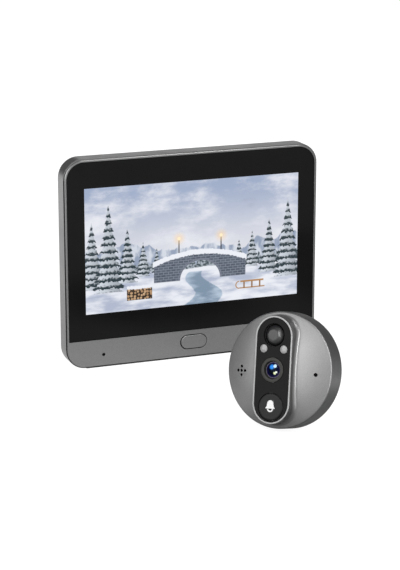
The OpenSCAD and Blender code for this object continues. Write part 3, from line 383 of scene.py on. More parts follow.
def turned(name, profile, at=(0.0, 0.0), segments=LARGE_TURN, hollow=False):
    """Turn a profile of (radius, height) pairs about the face's normal. A hollow one is a closed ring."""
    radius, height = profile[0]
    bpy.ops.object.select_all(action="DESELECT")
    bpy.ops.mesh.primitive_circle_add(
        vertices=segments, radius=radius, fill_type="NOTHING" if hollow else "NGON", location=(*at, height)
    )
    obj = named(name)
    bpy.ops.object.transform_apply(location=True, rotation=True, scale=True)
    with editing(obj):
        bpy.ops.mesh.select_all(action="SELECT")
        for next_radius, next_height in [*profile[1:], profile[0]] if hollow else profile[1:]:
            bpy.ops.mesh.extrude_region_move(
                TRANSFORM_OT_translate={"value": (0.0, 0.0, next_height - height)}
            )
            share = next_radius / radius
            bpy.ops.transform.resize(value=(share, share, 1.0), center_override=(*at, next_height))
            radius, height = next_radius, next_height
        bpy.ops.mesh.select_all(action="SELECT")
        bpy.ops.mesh.remove_doubles(threshold=TINY / 5)
        bpy.ops.mesh.normals_make_consistent(inside=False)
    return obj


def loft(name, rings):
    """Carry a circle of vertices through rings of points, and close both ends."""
    bpy.ops.object.select_all(action="DESELECT")
    bpy.ops.mesh.primitive_circle_add(vertices=len(rings[0]), radius=1.0, fill_type="NOTHING")
    obj = named(name)
    with editing(obj) as mesh:
        place = mesh.verts.layers.int.new("place")
        mesh.verts.ensure_lookup_table()
        for number, vert in enumerate(mesh.verts):
            vert[place] = number
        bpy.ops.mesh.select_all(action="SELECT")
        for step, ring in enumerate(rings):
            if step:
                bpy.ops.mesh.extrude_region_move(TRANSFORM_OT_translate={"value": (0.0, 0.0, 0.0)})
            mesh = bmesh.from_edit_mesh(obj.data)
            place = mesh.verts.layers.int["place"]
            for vert in mesh.verts:
                if vert.select:
                    vert.co = ring[vert[place]]
            bmesh.update_edit_mesh(obj.data)
        bpy.ops.mesh.select_all(action="SELECT")
        bpy.ops.mesh.fill_holes(sides=0)
        bpy.ops.mesh.select_all(action="SELECT")
        bpy.ops.mesh.normals_make_consistent(inside=False)
    return obj


def joined(first, *others):
    """Join objects to one."""
    choose(first, *others)
    if others:
        bpy.ops.object.join()
    return first


def boolean(obj, operation, *tools):
    """Cut tools out of an object, or add them to it."""
    tool = joined(*tools)
    choose(obj)
    bpy.ops.object.modifier_add(type="BOOLEAN")
    step = obj.modifiers[-1]
    step.operation = operation
    step.solver = "EXACT"
    step.object = tool
    bpy.ops.object.modifier_apply(modifier=step.name)
    bpy.data.meshes.remove(tool.data)
    return obj


def settle(obj, place, body, nodes, slot, *materials, smooth=32.0):
    """Put a finished piece in its place, shade it and let it ride on its body."""
    # Faces that lie flat in the face frame are strong, so they stay flat beside the roundings
    with editing(obj) as mesh:
        bpy.ops.mesh.select_mode(type="FACE")
        for face in mesh.faces:
            face.select_set(abs(face.normal.z) > 0.9999)
        bmesh.update_edit_mesh(obj.data)
        bpy.ops.mesh.mod_weighted_strength(set=True, face_strength="STRONG")
    choose(obj)
    obj.matrix_world = place
    bpy.ops.object.transform_apply(location=True, rotation=True, scale=True)
    bpy.ops.object.shade_smooth_by_angle(angle=math.radians(smooth))
    bpy.ops.object.modifier_add(type="WEIGHTED_NORMAL")
    obj.modifiers[-1].keep_sharp = True
    obj.modifiers[-1].use_face_influence = True
    bpy.ops.object.modifier_apply(modifier=obj.modifiers[-1].name)
    for material in materials:
        obj.data.materials.append(material)
    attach(obj, body)
    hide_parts(*nodes)
    return obj


def quarter(radius, steps, start=0.0, end=90.0):
    """Steps outwards and upwards of a rounding, from its start angle to its end angle."""
    for step in range(steps + 1):
        turn = math.radians(start + (end - start) * step / steps)
        yield radius * math.sin(turn), radius * math.cos(turn)


# Materials


class Finish:
    """A material built from node steps on its Principled shader."""

    def __init__(self, name, metallic=0.0, roughness=0.5, specular=0.5, coat=0.0):
        self.material = bpy.data.materials.new(name)
        self.material.use_nodes = True
        self.nodes = self.material.node_tree.nodes
        self.links = self.material.node_tree.links
        self.shader = self.nodes["Principled BSDF"]
        self.set("Metallic", metallic)
        self.set("Roughness", roughness)
        self.set("Specular IOR Level", specular)
        self.set("Coat Weight", coat)
        self.set("Coat Roughness", 0.03)
        self.where = self.nodes.new("ShaderNodeTexCoord").outputs["Object"]

    def set(self, socket, value):
        """Give the shader a value or a node's output."""
        self.feed(self.shader.inputs[socket], value)

    def feed(self, socket, value):
        """Link an output to a socket, or write a plain value in it."""
        if isinstance(value, bpy.types.NodeSocket):
            self.links.new(value, socket)
        elif hasattr(value, "__len__") and len(value) == 3 and socket.type == "RGBA":
            socket.default_value = (*value, 1.0)
        else:
            socket.default_value = value

    def math(self, operation, *values):
        """One step of arithmetic."""
        node = self.nodes.new("ShaderNodeMath")
        node.operation = operation
        for socket, value in zip(node.inputs, values):
            self.feed(socket, value)
        return node.outputs[0]

    def both(self, first, *others):
        """Share that lies within all of these shares."""
        for other in others:
            first = self.math("MULTIPLY", first, other)
        return first

    def squares(self, *offsets):
        """Sum of two squares."""
        return self.math("ADD", *[self.math("POWER", offset, 2.0) for offset in offsets])

    def span(self, *offsets):
        """Distance that two offsets at right angles make."""
        return self.math("SQRT", self.squares(*offsets))

    def split(self, vector=None):
        """X, Y and Z of a vector, or else of the object's own coordinates."""
        node = self.nodes.new("ShaderNodeSeparateXYZ")
        self.feed(node.inputs[0], vector or self.where)
        return node.outputs

    def cells(self, scale, vector=None):
        """Node that divides the surface into cells."""
        node = self.nodes.new("ShaderNodeTexVoronoi")
        node.inputs["Scale"].default_value = scale
        self.feed(node.inputs["Vector"], vector or self.where)
        return node

    def mix(self, share, first, second):
        """Blend two colours."""
        node = self.nodes.new("ShaderNodeMix")
        node.data_type = "RGBA"
        self.feed(node.inputs[0], share)
        self.feed(node.inputs[6], first)
        self.feed(node.inputs[7], second)
        return node.outputs[2]

    def fade(self, value, start, end, low=0.0, high=1.0):
        """Smooth step of a value between two limits."""
        node = self.nodes.new("ShaderNodeMapRange")
        node.interpolation_type = "SMOOTHSTEP"
        for socket, number in zip(node.inputs, (value, start, end, low, high)):
            self.feed(socket, number)
        return node.outputs[0]

    def noise(self, scale, detail=2.0, vector=None, roughness=0.5):
        """Soft noise, as a value."""
        node = self.nodes.new("ShaderNodeTexNoise")
        for socket, value in (("Scale", scale), ("Detail", detail), ("Roughness", roughness)):
            node.inputs[socket].default_value = value
        self.feed(node.inputs["Vector"], vector or self.where)
        return node.outputs[0]

    def stretched(self, scale):
        """Coordinates scaled apart along each axis."""
        node = self.nodes.new("ShaderNodeMapping")
        node.inputs["Scale"].default_value = scale
        self.feed(node.inputs["Vector"], self.where)
        return node.outputs[0]

    def bump(self, height, distance, strength=1.0):
        """Fine relief of the surface."""
        node = self.nodes.new("ShaderNodeBump")
        node.inputs["Strength"].default_value = strength
        node.inputs["Distance"].default_value = distance
        self.feed(node.inputs["Height"], height)
        self.set("Normal", node.outputs[0])

    def mottle(self, base, spread, value):
        """Colour that drifts a little below and above its base."""
        low = [max(0.0, part * (1.0 - spread)) for part in base]
        high = [min(1.0, part * (1.0 + spread)) for part in base]
        self.set("Base Color", self.mix(value, low, high))


class Picture(Finish):
    """A winter landscape, painted from back to front in millimetres from the screen's lower edge."""

    SNOW = (0.84, 0.86, 0.92)
    TIMBER = (0.46, 0.25, 0.11)

    def __init__(self, name, low):
        super().__init__(name, roughness=0.08, specular=0.15)
        self.set("Base Color", (0.0, 0.0, 0.0))
        at = self.split()
        self.x = self.math("MULTIPLY", at["X"], 1000.0)
        self.y = self.math("MULTIPLY", self.math("SUBTRACT", at["Z"], low), 1000.0)
        self.fine = self.noise(900.0, 3.0)
        self.seen = (0.0, 0.0, 0.0)

    def paint(self, cover, tone):
        """Lay one more tone over the picture."""
        self.seen = self.mix(cover, self.seen, tone)

    def band(self, value, low, high, soft):
        """Share of a value between two limits, with soft ends."""
        return self.both(
            self.fade(value, low - soft, low + soft), self.fade(value, high - soft, high + soft, 1.0, 0.0)
        )

    def ridge(self, level, swing, pace, seed, detail=3.0):
        """Height line that rolls along x."""
        node = self.nodes.new("ShaderNodeTexNoise")
        node.noise_dimensions = "1D"
        node.inputs["Scale"].default_value = 1.0
        node.inputs["Detail"].default_value = detail
        self.feed(node.inputs["W"], self.math("MULTIPLY_ADD", self.x, pace, seed))
        return self.math("MULTIPLY_ADD", self.math("SUBTRACT", node.outputs[0], 0.5), swing, level)

    def under(self, line, soft):
        """Share of the picture under a height line."""
        return self.fade(self.math("SUBTRACT", line, self.y), -soft, soft)

    def sky(self):
        """Pale winter sky with layered clouds."""
        cloud = self.noise(1.0, 6.0, self.stretched((26.0, 1.0, 60.0)), 0.6)
        self.seen = self.mix(self.fade(self.y, 24.0, 62.0), (0.72, 0.73, 0.79), (0.34, 0.41, 0.57))
        self.paint(self.fade(cloud, 0.44, 0.66), (0.80, 0.81, 0.87))
        self.paint(self.fade(cloud, 0.40, 0.22, 0.0, 0.5), (0.33, 0.36, 0.48))

    def mountains(self):
        """Distant range with snow on its rock."""
        rock = self.noise(1.0, 5.0, self.stretched((240.0, 1.0, 110.0)))
        tone = self.mix(self.fade(rock, 0.42, 0.6), (0.30, 0.36, 0.48), (0.66, 0.70, 0.78))
        self.paint(self.under(self.ridge(30.0, 26.0, 0.034, 2.7, 5.0), 0.4), tone)

    def forest(self):
        """Frosted wood at the foot of the range."""
        tone = self.mix(self.fade(self.fine, 0.4, 0.62), (0.06, 0.085, 0.10), (0.42, 0.47, 0.53))
        self.paint(self.under(self.ridge(22.5, 13.0, 0.35, 5.1, 6.0), 0.5), tone)

    def snowfield(self):
        """Snowy ground with blue hollows and a frozen stream."""
        drift = self.noise(1.0, 4.0, self.stretched((60.0, 1.0, 190.0)))
        tone = self.mix(self.fade(drift, 0.35, 0.62), (0.44, 0.49, 0.62), (0.83, 0.85, 0.91))
        self.paint(self.under(self.ridge(18.0, 5.0, 0.03, 1.3), 0.3), tone)
        bend = self.math("MULTIPLY", self.math("SINE", self.math("MULTIPLY", self.y, 0.33)), 4.0)
        off = self.math("ABSOLUTE", self.math("SUBTRACT", self.math("SUBTRACT", self.x, 4.0), bend))
        half = self.math("MULTIPLY_ADD", self.y, -0.32, 8.5)
        bank = self.math("ADD", self.math("SUBTRACT", half, off), self.math("MULTIPLY", self.fine, 1.2))
        ice = self.mix(self.fade(drift, 0.4, 0.6), (0.22, 0.30, 0.40), (0.46, 0.56, 0.68))
        self.paint(self.both(self.fade(bank, 0.0, 0.8), self.under(16.5, 0.4)), ice)

    def spruce(self, left, foot, tall, wide):
        """Spruce with snow on its tiers."""
        tiers = 5.0 + tall / 6.0
        rise = self.math("DIVIDE", self.math("SUBTRACT", self.y, foot), tall)
        tier = self.math("FRACT", self.math("MULTIPLY_ADD", rise, tiers, self.fine))
        off = self.math("SUBTRACT", self.x, left)
        reach = self.math("MULTIPLY", self.math("SUBTRACT", 1.02, rise), wide)
        reach = self.math("MULTIPLY", reach, self.math("MULTIPLY_ADD", tier, -0.45, 1.05))
        inside = self.math("SUBTRACT", reach, self.math("ABSOLUTE", off))
        cover = self.both(self.fade(inside, -0.15, 0.25), self.band(rise, 0.0, 1.0, 0.01))
        lit = self.both(self.fade(tier, 0.3, 0.62), self.fade(off, -wide, wide, 1.0, 0.45))
        self.paint(cover, self.mix(lit, (0.035, 0.055, 0.065), (0.70, 0.75, 0.82)))

    def bridge(self):
        """Dark stone arch bridge with a cap of snow."""
        middle = self.math("SUBTRACT", self.x, 3.5)
        deck = self.math("MULTIPLY_ADD", self.math("POWER", middle, 2.0), -0.008, 26.5)
        up = self.math("SUBTRACT", self.y, 12.5)
        arch = self.squares(self.math("DIVIDE", middle, 10.5), self.math("DIVIDE", up, 9.5))
        above_foot = self.fade(self.y, 12.2, 12.8)
        body = self.both(self.band(middle, -24.0, 24.0, 0.2), self.under(deck, 0.2))
        wall = self.both(body, above_foot, self.fade(arch, 0.97, 1.03))
        self.paint(wall, self.masonry())
        keystones = self.both(self.band(arch, 1.0, 1.22, 0.02), above_foot, 0.6)
        self.paint(keystones, (0.20, 0.22, 0.28))
        cap = self.math("MULTIPLY_ADD", self.fine, 1.6, self.math("SUBTRACT", self.y, deck))
        snow = self.both(self.band(cap, -0.6, 1.9, 0.2), self.band(middle, -24.6, 24.6, 0.3))
        self.paint(snow, self.SNOW)

    def masonry(self):
        """Tone of the bridge's stones and their joints."""
        stone = self.nodes.new("ShaderNodeTexBrick")
        tones = {"Color1": (0.075, 0.09, 0.125), "Color2": (0.12, 0.14, 0.185)}
        tones["Mortar"] = (0.25, 0.28, 0.34)
        sizes = {"Scale": 1.0, "Mortar Size": 0.12, "Brick Width": 2.6, "Row Height": 1.25}
        for socket, value in {**tones, **sizes}.items():
            self.feed(stone.inputs[socket], value)
        flat = self.nodes.new("ShaderNodeCombineXYZ")
        self.feed(flat.inputs[0], self.x)
        self.feed(flat.inputs[1], self.y)
        self.feed(stone.inputs["Vector"], flat.outputs[0])
        return stone.outputs[0]

    def lantern(self, left, foot):
        """Lamp post with a warm light."""
        off = self.math("SUBTRACT", self.x, left)
        post = self.both(self.band(off, -0.28, 0.28, 0.1), self.band(self.y, foot, foot + 6.6, 0.1))
        self.paint(post, (0.03, 0.03, 0.035))
        away = self.span(off, self.math("SUBTRACT", self.y, foot + 7.2))
        self.paint(self.fade(away, 4.2, 0.4, 0.0, 0.55), (0.95, 0.66, 0.34))
        self.paint(self.fade(away, 1.0, 0.7), (1.0, 0.86, 0.58))

    def log_pile(self, left, foot, wide, tall):
        """Stack of cut logs under snow."""
        logs = self.cells(620.0, self.stretched((1.0, 0.0, 1.0)))
        logs.inputs["Randomness"].default_value = 0.45
        across = self.band(self.math("SUBTRACT", self.x, left), -wide / 2, wide / 2, 0.15)
        top = self.math("MULTIPLY_ADD", self.fine, 1.4, foot + tall - 0.7)
        cover = self.both(across, self.under(top, 0.15), self.fade(self.y, foot - 0.1, foot + 0.1))
        wood = self.mix(self.fade(self.fine, 0.35, 0.65), (0.42, 0.25, 0.13), (0.62, 0.43, 0.26))
        gaps = self.fade(logs.outputs["Distance"], 0.40, 0.52)
        self.paint(cover, self.mix(gaps, wood, (0.05, 0.035, 0.025)))
        over = self.math("SUBTRACT", self.y, top)
        self.paint(self.both(across, self.band(over, -0.5, 1.1, 0.2)), self.SNOW)

    def sledge(self, left, foot):
        """Small wooden sledge that stands on the snow."""
        off = self.math("SUBTRACT", self.x, left)
        for low, high, wide in ((3.2, 4.1, 6.2), (0.0, 0.6, 6.8)):
            across = self.band(off, -wide, wide, 0.15)
            self.paint(self.both(across, self.band(self.y, foot + low, foot + high, 0.12)), self.TIMBER)
        for place in (-4.2, 0.0, 4.2):
            leg = self.both(
                self.band(off, place - 0.4, place + 0.4, 0.1), self.band(self.y, foot, foot + 3.4, 0.1)
            )
            self.paint(leg, (0.30, 0.16, 0.07))
        curl = self.span(self.math("SUBTRACT", off, -6.8), self.math("SUBTRACT", self.y, foot + 2.0))
        self.paint(self.both(self.band(curl, 1.5, 2.05, 0.1), self.fade(off, -6.7, -6.9)), self.TIMBER)


def satin_paint(name, base):
    """Metallic grey paint with fine flakes and a silky bump."""
    finish = Finish(name, metallic=0.78)
    flakes = finish.fade(finish.noise(5200.0, 2.0), 0.3, 0.7)
    grain = finish.fade(finish.noise(2300.0, 1.0), 0.25, 0.75)
    cloud = finish.noise(70.0, 3.0)
    blend = finish.math("MULTIPLY_ADD", grain, 0.55, finish.math("MULTIPLY", flakes, 0.45))
    finish.mottle(base, 0.12, blend)
    finish.set("Roughness", finish.fade(cloud, 0.3, 0.7, 0.34, 0.39))
    finish.bump(blend, 0.000006, 0.4)
    return finish.material


def painted_groove_shade(name, dark, pale):
    """Painted shade in the shadow groove and the holes, near black, which turns to the casing's grey at the
    top where light falls into the groove.
    """
    size = bpy.context.scene.door_monitor
    finish = Finish(name, roughness=0.7, specular=0.05)
    grain = finish.noise(2600.0, 3.0)
    level = finish.math("MULTIPLY_ADD", grain, 0.001, finish.split()["Z"])
    # Painted light: the shade fades to the casing's grey near the top, where the groove is lit from above
    start, end = size.height - 1.1 * size.corner, size.height - 0.4 * size.corner
    finish.set("Base Color", finish.mix(finish.fade(level, start, end), dark, pale))
    finish.bump(grain, 0.00001, 0.4)
    return finish.material


def moulded(name, base, roughness=0.5, grain=2600.0, depth=0.00001, metallic=0.0, specular=0.5):
    """Moulded plastic, rubber or cast metal with a fine texture."""
    finish = Finish(name, metallic=metallic, specular=specular)
    spark = finish.noise(grain, 3.0)
    finish.mottle(base, 0.08, finish.fade(spark, 0.3, 0.7))
    finish.set("Roughness", finish.fade(spark, 0.25, 0.75, roughness - 0.05, roughness + 0.05))
    finish.bump(spark, depth, 0.4)
    return finish.material


def polished(name, base, roughness=0.06, specular=0.5):
    """Gloss surface with a faint waviness and a trace of dust."""
    finish = Finish(name, specular=specular)
    haze = finish.noise(120.0, 4.0)
    finish.mottle(base, 0.15, haze)
    finish.set("Roughness", finish.fade(haze, 0.3, 0.8, roughness * 0.8, roughness * 1.3))
    finish.bump(finish.noise(40.0, 1.0), 0.000002, 0.15)
    return finish.material


def brushed(name, base, roughness=0.3):
    """Bright metal with fine brushing along x."""
    finish = Finish(name, metallic=1.0)
    strokes = finish.noise(1.0, 3.0, finish.stretched((300.0, 6000.0, 6000.0)))
    finish.mottle(base, 0.15, strokes)
    finish.set("Roughness", finish.fade(strokes, 0.2, 0.8, roughness - 0.08, roughness + 0.08))
    finish.bump(strokes, 0.000004, 0.3)
    return finish.material


def foam(name, base):
    """Open-cell foam."""
    finish = Finish(name, roughness=0.95, specular=0.2)
    pores = finish.fade(finish.cells(2600.0).outputs["Distance"], 0.1, 0.6)
    finish.mottle(base, 0.45, pores)
    finish.bump(pores, 0.00012, 0.8)
    return finish.material


def solder_mask(name, base):
    """Green circuit board with copper runs under the mask."""
    finish = Finish(name, roughness=0.35, coat=0.3)
    fields = finish.cells(420.0)
    fields.feature = "DISTANCE_TO_EDGE"
    runs = finish.fade(fields.outputs["Distance"], 0.06, 0.1, 1.0, 0.0)
    lighter = [min(1.0, part * 1.9) for part in base]
    finish.set("Base Color", finish.mix(runs, base, lighter))
    finish.bump(runs, 0.00003, 0.5)
    return finish.material


def lit_screen():
    """Winter view on the display, drawn in screen millimetres and glowing by itself."""
    size = bpy.context.scene.door_monitor
    view = Picture("lit_screen", GLASS_LOW.z + size.screen_margin)
    view.sky()
    view.mountains()
    view.forest()
    view.snowfield()
    # Place, foot, height and half width of each tree
    far_trees = ((-19, 17, 13, 3), (-26, 16.5, 17, 4), (24, 17, 14, 3.4), (31, 16.5, 18, 4.2))
    near_trees = ((-34, 14, 27, 6), (-52, 12, 33, 7), (-43.5, 10, 43, 8.5))
    near_trees += ((40, 13, 27, 6), (50, 10, 39, 8))
    for tree in far_trees:
        view.spruce(*tree)
    view.bridge()
    for left in (-7.5, 14.5):
        view.lantern(left, foot=26.5)
    for tree in near_trees:
        view.spruce(*tree)
    view.log_pile(left=-28.0, foot=5.0, wide=13.0, tall=6.0)
    view.sledge(left=31.0, foot=5.5)
    view.set("Emission Color", view.seen)
    view.set("Emission Strength", 1.0)
    return view.material


def about_axis(finish, place, at=(0.0, 0.0)):
    """Distance from an axis that runs out of the camera unit's face at some point."""
    turn = finish.nodes.new("ShaderNodeMapping")
    turn.vector_type = "TEXTURE"
    turn.inputs["Location"].default_value = place @ Vector((*at, 0.0))
    turn.inputs["Rotation"].default_value = place.to_euler()
    finish.feed(turn.inputs["Vector"], finish.where)
    offset = finish.split(turn.outputs[0])
    return finish.span(offset["X"], offset["Y"])


def ribbed_disc(name, base, place, up):
    """Milky smoked disc with fine rings, as on a stepped lens."""
    finish = Finish(name, specular=0.32)
    reach = about_axis(finish, place, (0.0, up))
    rings = finish.math("FRACT", finish.math("MULTIPLY", reach, 3200.0))
    finish.mottle(base, 0.18, rings)
    finish.set("Roughness", finish.fade(rings, 0.0, 1.0, 0.32, 0.4))
    finish.bump(rings, 0.00001, 0.25)
    return finish.material


def coated_glass(name, base, place):
    """Dark coated lens: a black pupil, a navy ring, and a violet rim and glints that are painted
    reflections of the coating and the inner lenses.
    """
    finish = Finish(name, roughness=0.04, specular=0.06)
    finish.set("Specular Tint", (0.25, 0.5, 1.0))
    reach = about_axis(finish, place)
    tone = finish.mix(finish.fade(reach, 0.0016, 0.0026), (0.0005, 0.0005, 0.001), base)
    tone = finish.mix(finish.fade(reach, 0.0024, 0.0028), tone, (0.001, 0.001, 0.003))
    # The violet rim is a painted reflection of the coating
    tone = finish.mix(finish.fade(reach, 0.0028, 0.0032), tone, (0.03, 0.022, 0.075))
    # Place, radius and colour of each glint, a reflection painted into the base colour
    painted_glints = (
        ((-0.0005, 0.0013), 0.0014, (0.02, 0.17, 0.55)),
        ((0.0010, 0.0017), 0.0010, (0.42, 0.55, 0.66)),
        ((0.0010, -0.0014), 0.0008, (0.50, 0.56, 0.33)),
        ((0.0017, -0.0009), 0.0006, (0.66, 0.70, 0.64)),
    )
    for at, wide, painted_glint in painted_glints:
        glow = about_axis(finish, place, at)
        tone = finish.mix(finish.fade(glow, wide, wide * 0.4), tone, painted_glint)
    finish.set("Base Color", tone)
    return finish.material


# Operators


class FrontBezel(Operator):
    """Grey frame of the monitor with the chin, the recess for the glass and the tongue"""

    bl_idname = "door_camera.front_bezel"
    bl_label = "Front bezel"

    def execute(self, context):
        size = context.scene.door_monitor
        colours = context.scene.door_colours
        bezel = outline_slab("bezel", size.lip_inset, 0.0, size.bezel_lip)
        round_edges(bezel, size.bezel_edge, 1, edge_at(0.0))
        body = outline_slab("body", size.groove_depth, size.bezel_edge, size.bezel_depth)
        boolean(bezel, "UNION", body)
        tongue = outline_slab("tongue", size.tongue_inset, size.bezel_lip, size.tongue_back)
        boolean(bezel, "UNION", tongue)
        for tool in list(self.openings(size)):
            boolean(bezel, "DIFFERENCE", tool)
        round_edges(bezel, size.mouth_edge, 2, mouth_at(0.0))
        # Faces of the shadow groove and walls of the chin's holes get painted shade, near black
        for face in bezel.data.polygons:
            face.material_index = int(self.in_painted_shade(size, face))
        settle(
            bezel, monitor_place(), "set", ["front_bezel"], "satin_grey_casing",
            satin_paint("satin_grey_paint", colours.casing),
            painted_groove_shade("bezel_seal", colours.plate, colours.casing),
        )
        return {"FINISHED"}

    def microphone(self, size):
        """Place of the microphone hole."""
        return size.mic_inset - size.width / 2, size.mic_up

    def openings(self, size):
        """Tools for the glass's pocket, the display's window, the hollow and the holes in the chin."""
        through, border = 2 * size.tongue_back, size.window_margin
        yield glass_panel("pocket", size.glass_gap, -size.bezel_depth, size.ledge_front)
        low = GLASS_LOW.z + size.screen_margin - border
        high = low + size.screen_height + 2 * border
        yield panel("window", size.screen_width + 2 * border, low, high, 0.0, through, size.bezel_depth)
        yield outline_slab("hollow", size.tongue_inset + size.tongue_wall, size.ledge_back, through)
        width, height, at = home_outline()
        gap = 2 * size.home_gap
        yield oblong("home_hole", width + gap, height + gap, at, -size.bezel_depth, size.tongue_back)
        radius = size.mic_hole / 2
        profile = [(radius, -size.tongue_back), (radius, size.bezel_depth)]
        yield turned("mic_hole", profile, self.microphone(size), HOLE_TURN)

    def in_painted_shade(self, size, face):
        """True for faces of the shadow groove and for the walls of the holes in the chin, which get painted
        shade.
        """
        at = face.center
        behind_lip = size.bezel_lip - TINY < -at.z < size.bezel_depth
        if behind_lip and outline_inset(at) < size.groove_depth + TINY:
            return True
        width, height, middle = home_outline()
        at_home = (
            abs(at.x - middle[0]) < width / 2 + size.home_gap + TINY
            and abs(at.y - middle[1]) < height / 2 + size.home_gap + TINY
        )
        at_microphone = (at.xy - Vector(self.microphone(size))).length < size.mic_hole / 2 + TINY
        return (at_home or at_microphone) and abs(face.normal.z) < 0.1


def outline_slab(name, inset, front, back):
    """A block with the monitor's outline, drawn in on all sides."""
    size = bpy.context.scene.door_monitor
    return panel(name, size.width - 2 * inset, inset, size.height - inset, front, back, size.corner - inset)


def outline_inset(at):
    """Distance of a point inside the monitor's outline, seen from the front."""
    size = bpy.context.scene.door_monitor
    across = abs(at.x) - size.width / 2 + size.corner
    upwards = abs(at.y - size.height / 2) - size.height / 2 + size.corner
    return size.corner - max(across, upwards, math.hypot(max(across, 0.0), max(upwards, 0.0)))


def glass_panel(name, grow, front, back):
    """The glass's outline as a block: round corners above, nearly square ones at the chin."""
    size = bpy.context.scene.door_monitor
    low, high = GLASS_LOW.z - grow, GLASS_HIGH.z + grow
    obj = block(name, GLASS_HIGH.x - GLASS_LOW.x + 2 * grow, low, high, front, back)
    middle = (low + high) / 2
    round_edges(
        obj, size.glass_corner + grow, CORNER_STEPS,
        lambda edge: upright_edge(edge) and edge.verts[0].co.y > middle,
    )
    return obj


def home_outline():
    """Width, height and middle of the home button's face."""
    size = bpy.context.scene.door_monitor
    width = HOME_HIGH.x - HOME_LOW.x - 2 * size.home_lip
    height = HOME_HIGH.z - HOME_LOW.z - 2 * size.home_lip
    return width, height, ((HOME_LOW.x + HOME_HIGH.x) / 2, (HOME_LOW.z + HOME_HIGH.z) / 2)


class ScreenGlass(Operator):
    """Front glass with its black print and the lit screen"""

    bl_idname = "door_camera.screen_glass"
    bl_label = "Screen glass"

    def execute(self, context):
        size = context.scene.door_monitor
        colours = context.scene.door_colours
        sink, back = GLASS_LOW.y - FRONT, GLASS_HIGH.y - FRONT
        glass = glass_panel("glass", 0.0, sink, back)
        round_edges(glass, size.glass_edge, 3, edge_at(sink))
        low = GLASS_LOW.z + size.screen_margin
        high = low + size.screen_height
        half = size.screen_width / 2
        cuts = [((side, 0.0, 0.0), (1.0, 0.0, 0.0)) for side in (half, -half)]
        cuts += [((0.0, level, 0.0), (0.0, 1.0, 0.0)) for level in (low, high)]
        for point, normal in cuts:
            with editing(glass) as mesh:
                bpy.ops.mesh.select_mode(type="FACE")
                for face in mesh.faces:
                    face.select_set(face.normal.z > 0.999)
                bmesh.update_edit_mesh(glass.data)
                bpy.ops.mesh.bisect(plane_co=point, plane_no=normal)
        middle = Vector((0.0, (low + high) / 2, -sink))
        lit = min(glass.data.polygons, key=lambda face: (face.center - middle).length)
        lit.material_index = 1
        settle(
            glass, monitor_place(), "set", ["screen_glass"], "black_glass",
            polished("black_glass_print", colours.glass, roughness=0.07, specular=0.07), lit_screen(),
        )
        return {"FINISHED"}


class HomeButton(Operator):
    """Home button in the chin, with its flange"""

    bl_idname = "door_camera.home_button"
    bl_label = "Home button"

    def execute(self, context):
        size = context.scene.door_monitor
        colours = context.scene.door_colours
        width, height, at = home_outline()
        back = HOME_HIGH.y - FRONT
        at = (at[0] + size.home_play, at[1])
        button = oblong("home_key", width, height, at, -size.home_proud, back - size.home_flange / 2)
        round_edges(button, size.home_edge, 5, edge_at(-size.home_proud))
        lip = 2 * size.home_lip
        boolean(
            button, "UNION",
            oblong("home_flange", width + lip, height + lip, at, back - size.home_flange, back),
        )
        # The key's sides inside its hole get painted shade, near black
        for face in button.data.polygons:
            face.material_index = int(abs(face.normal.z) < 0.1 and face.center.z < 0.0)
        settle(
            button, monitor_place(), "home_key", ["home_button"], "satin_grey_casing",
            satin_paint("satin_grey_key", colours.casing),
            painted_groove_shade("key_seal", colours.plate, colours.casing),
        )
        return {"FINISHED"}


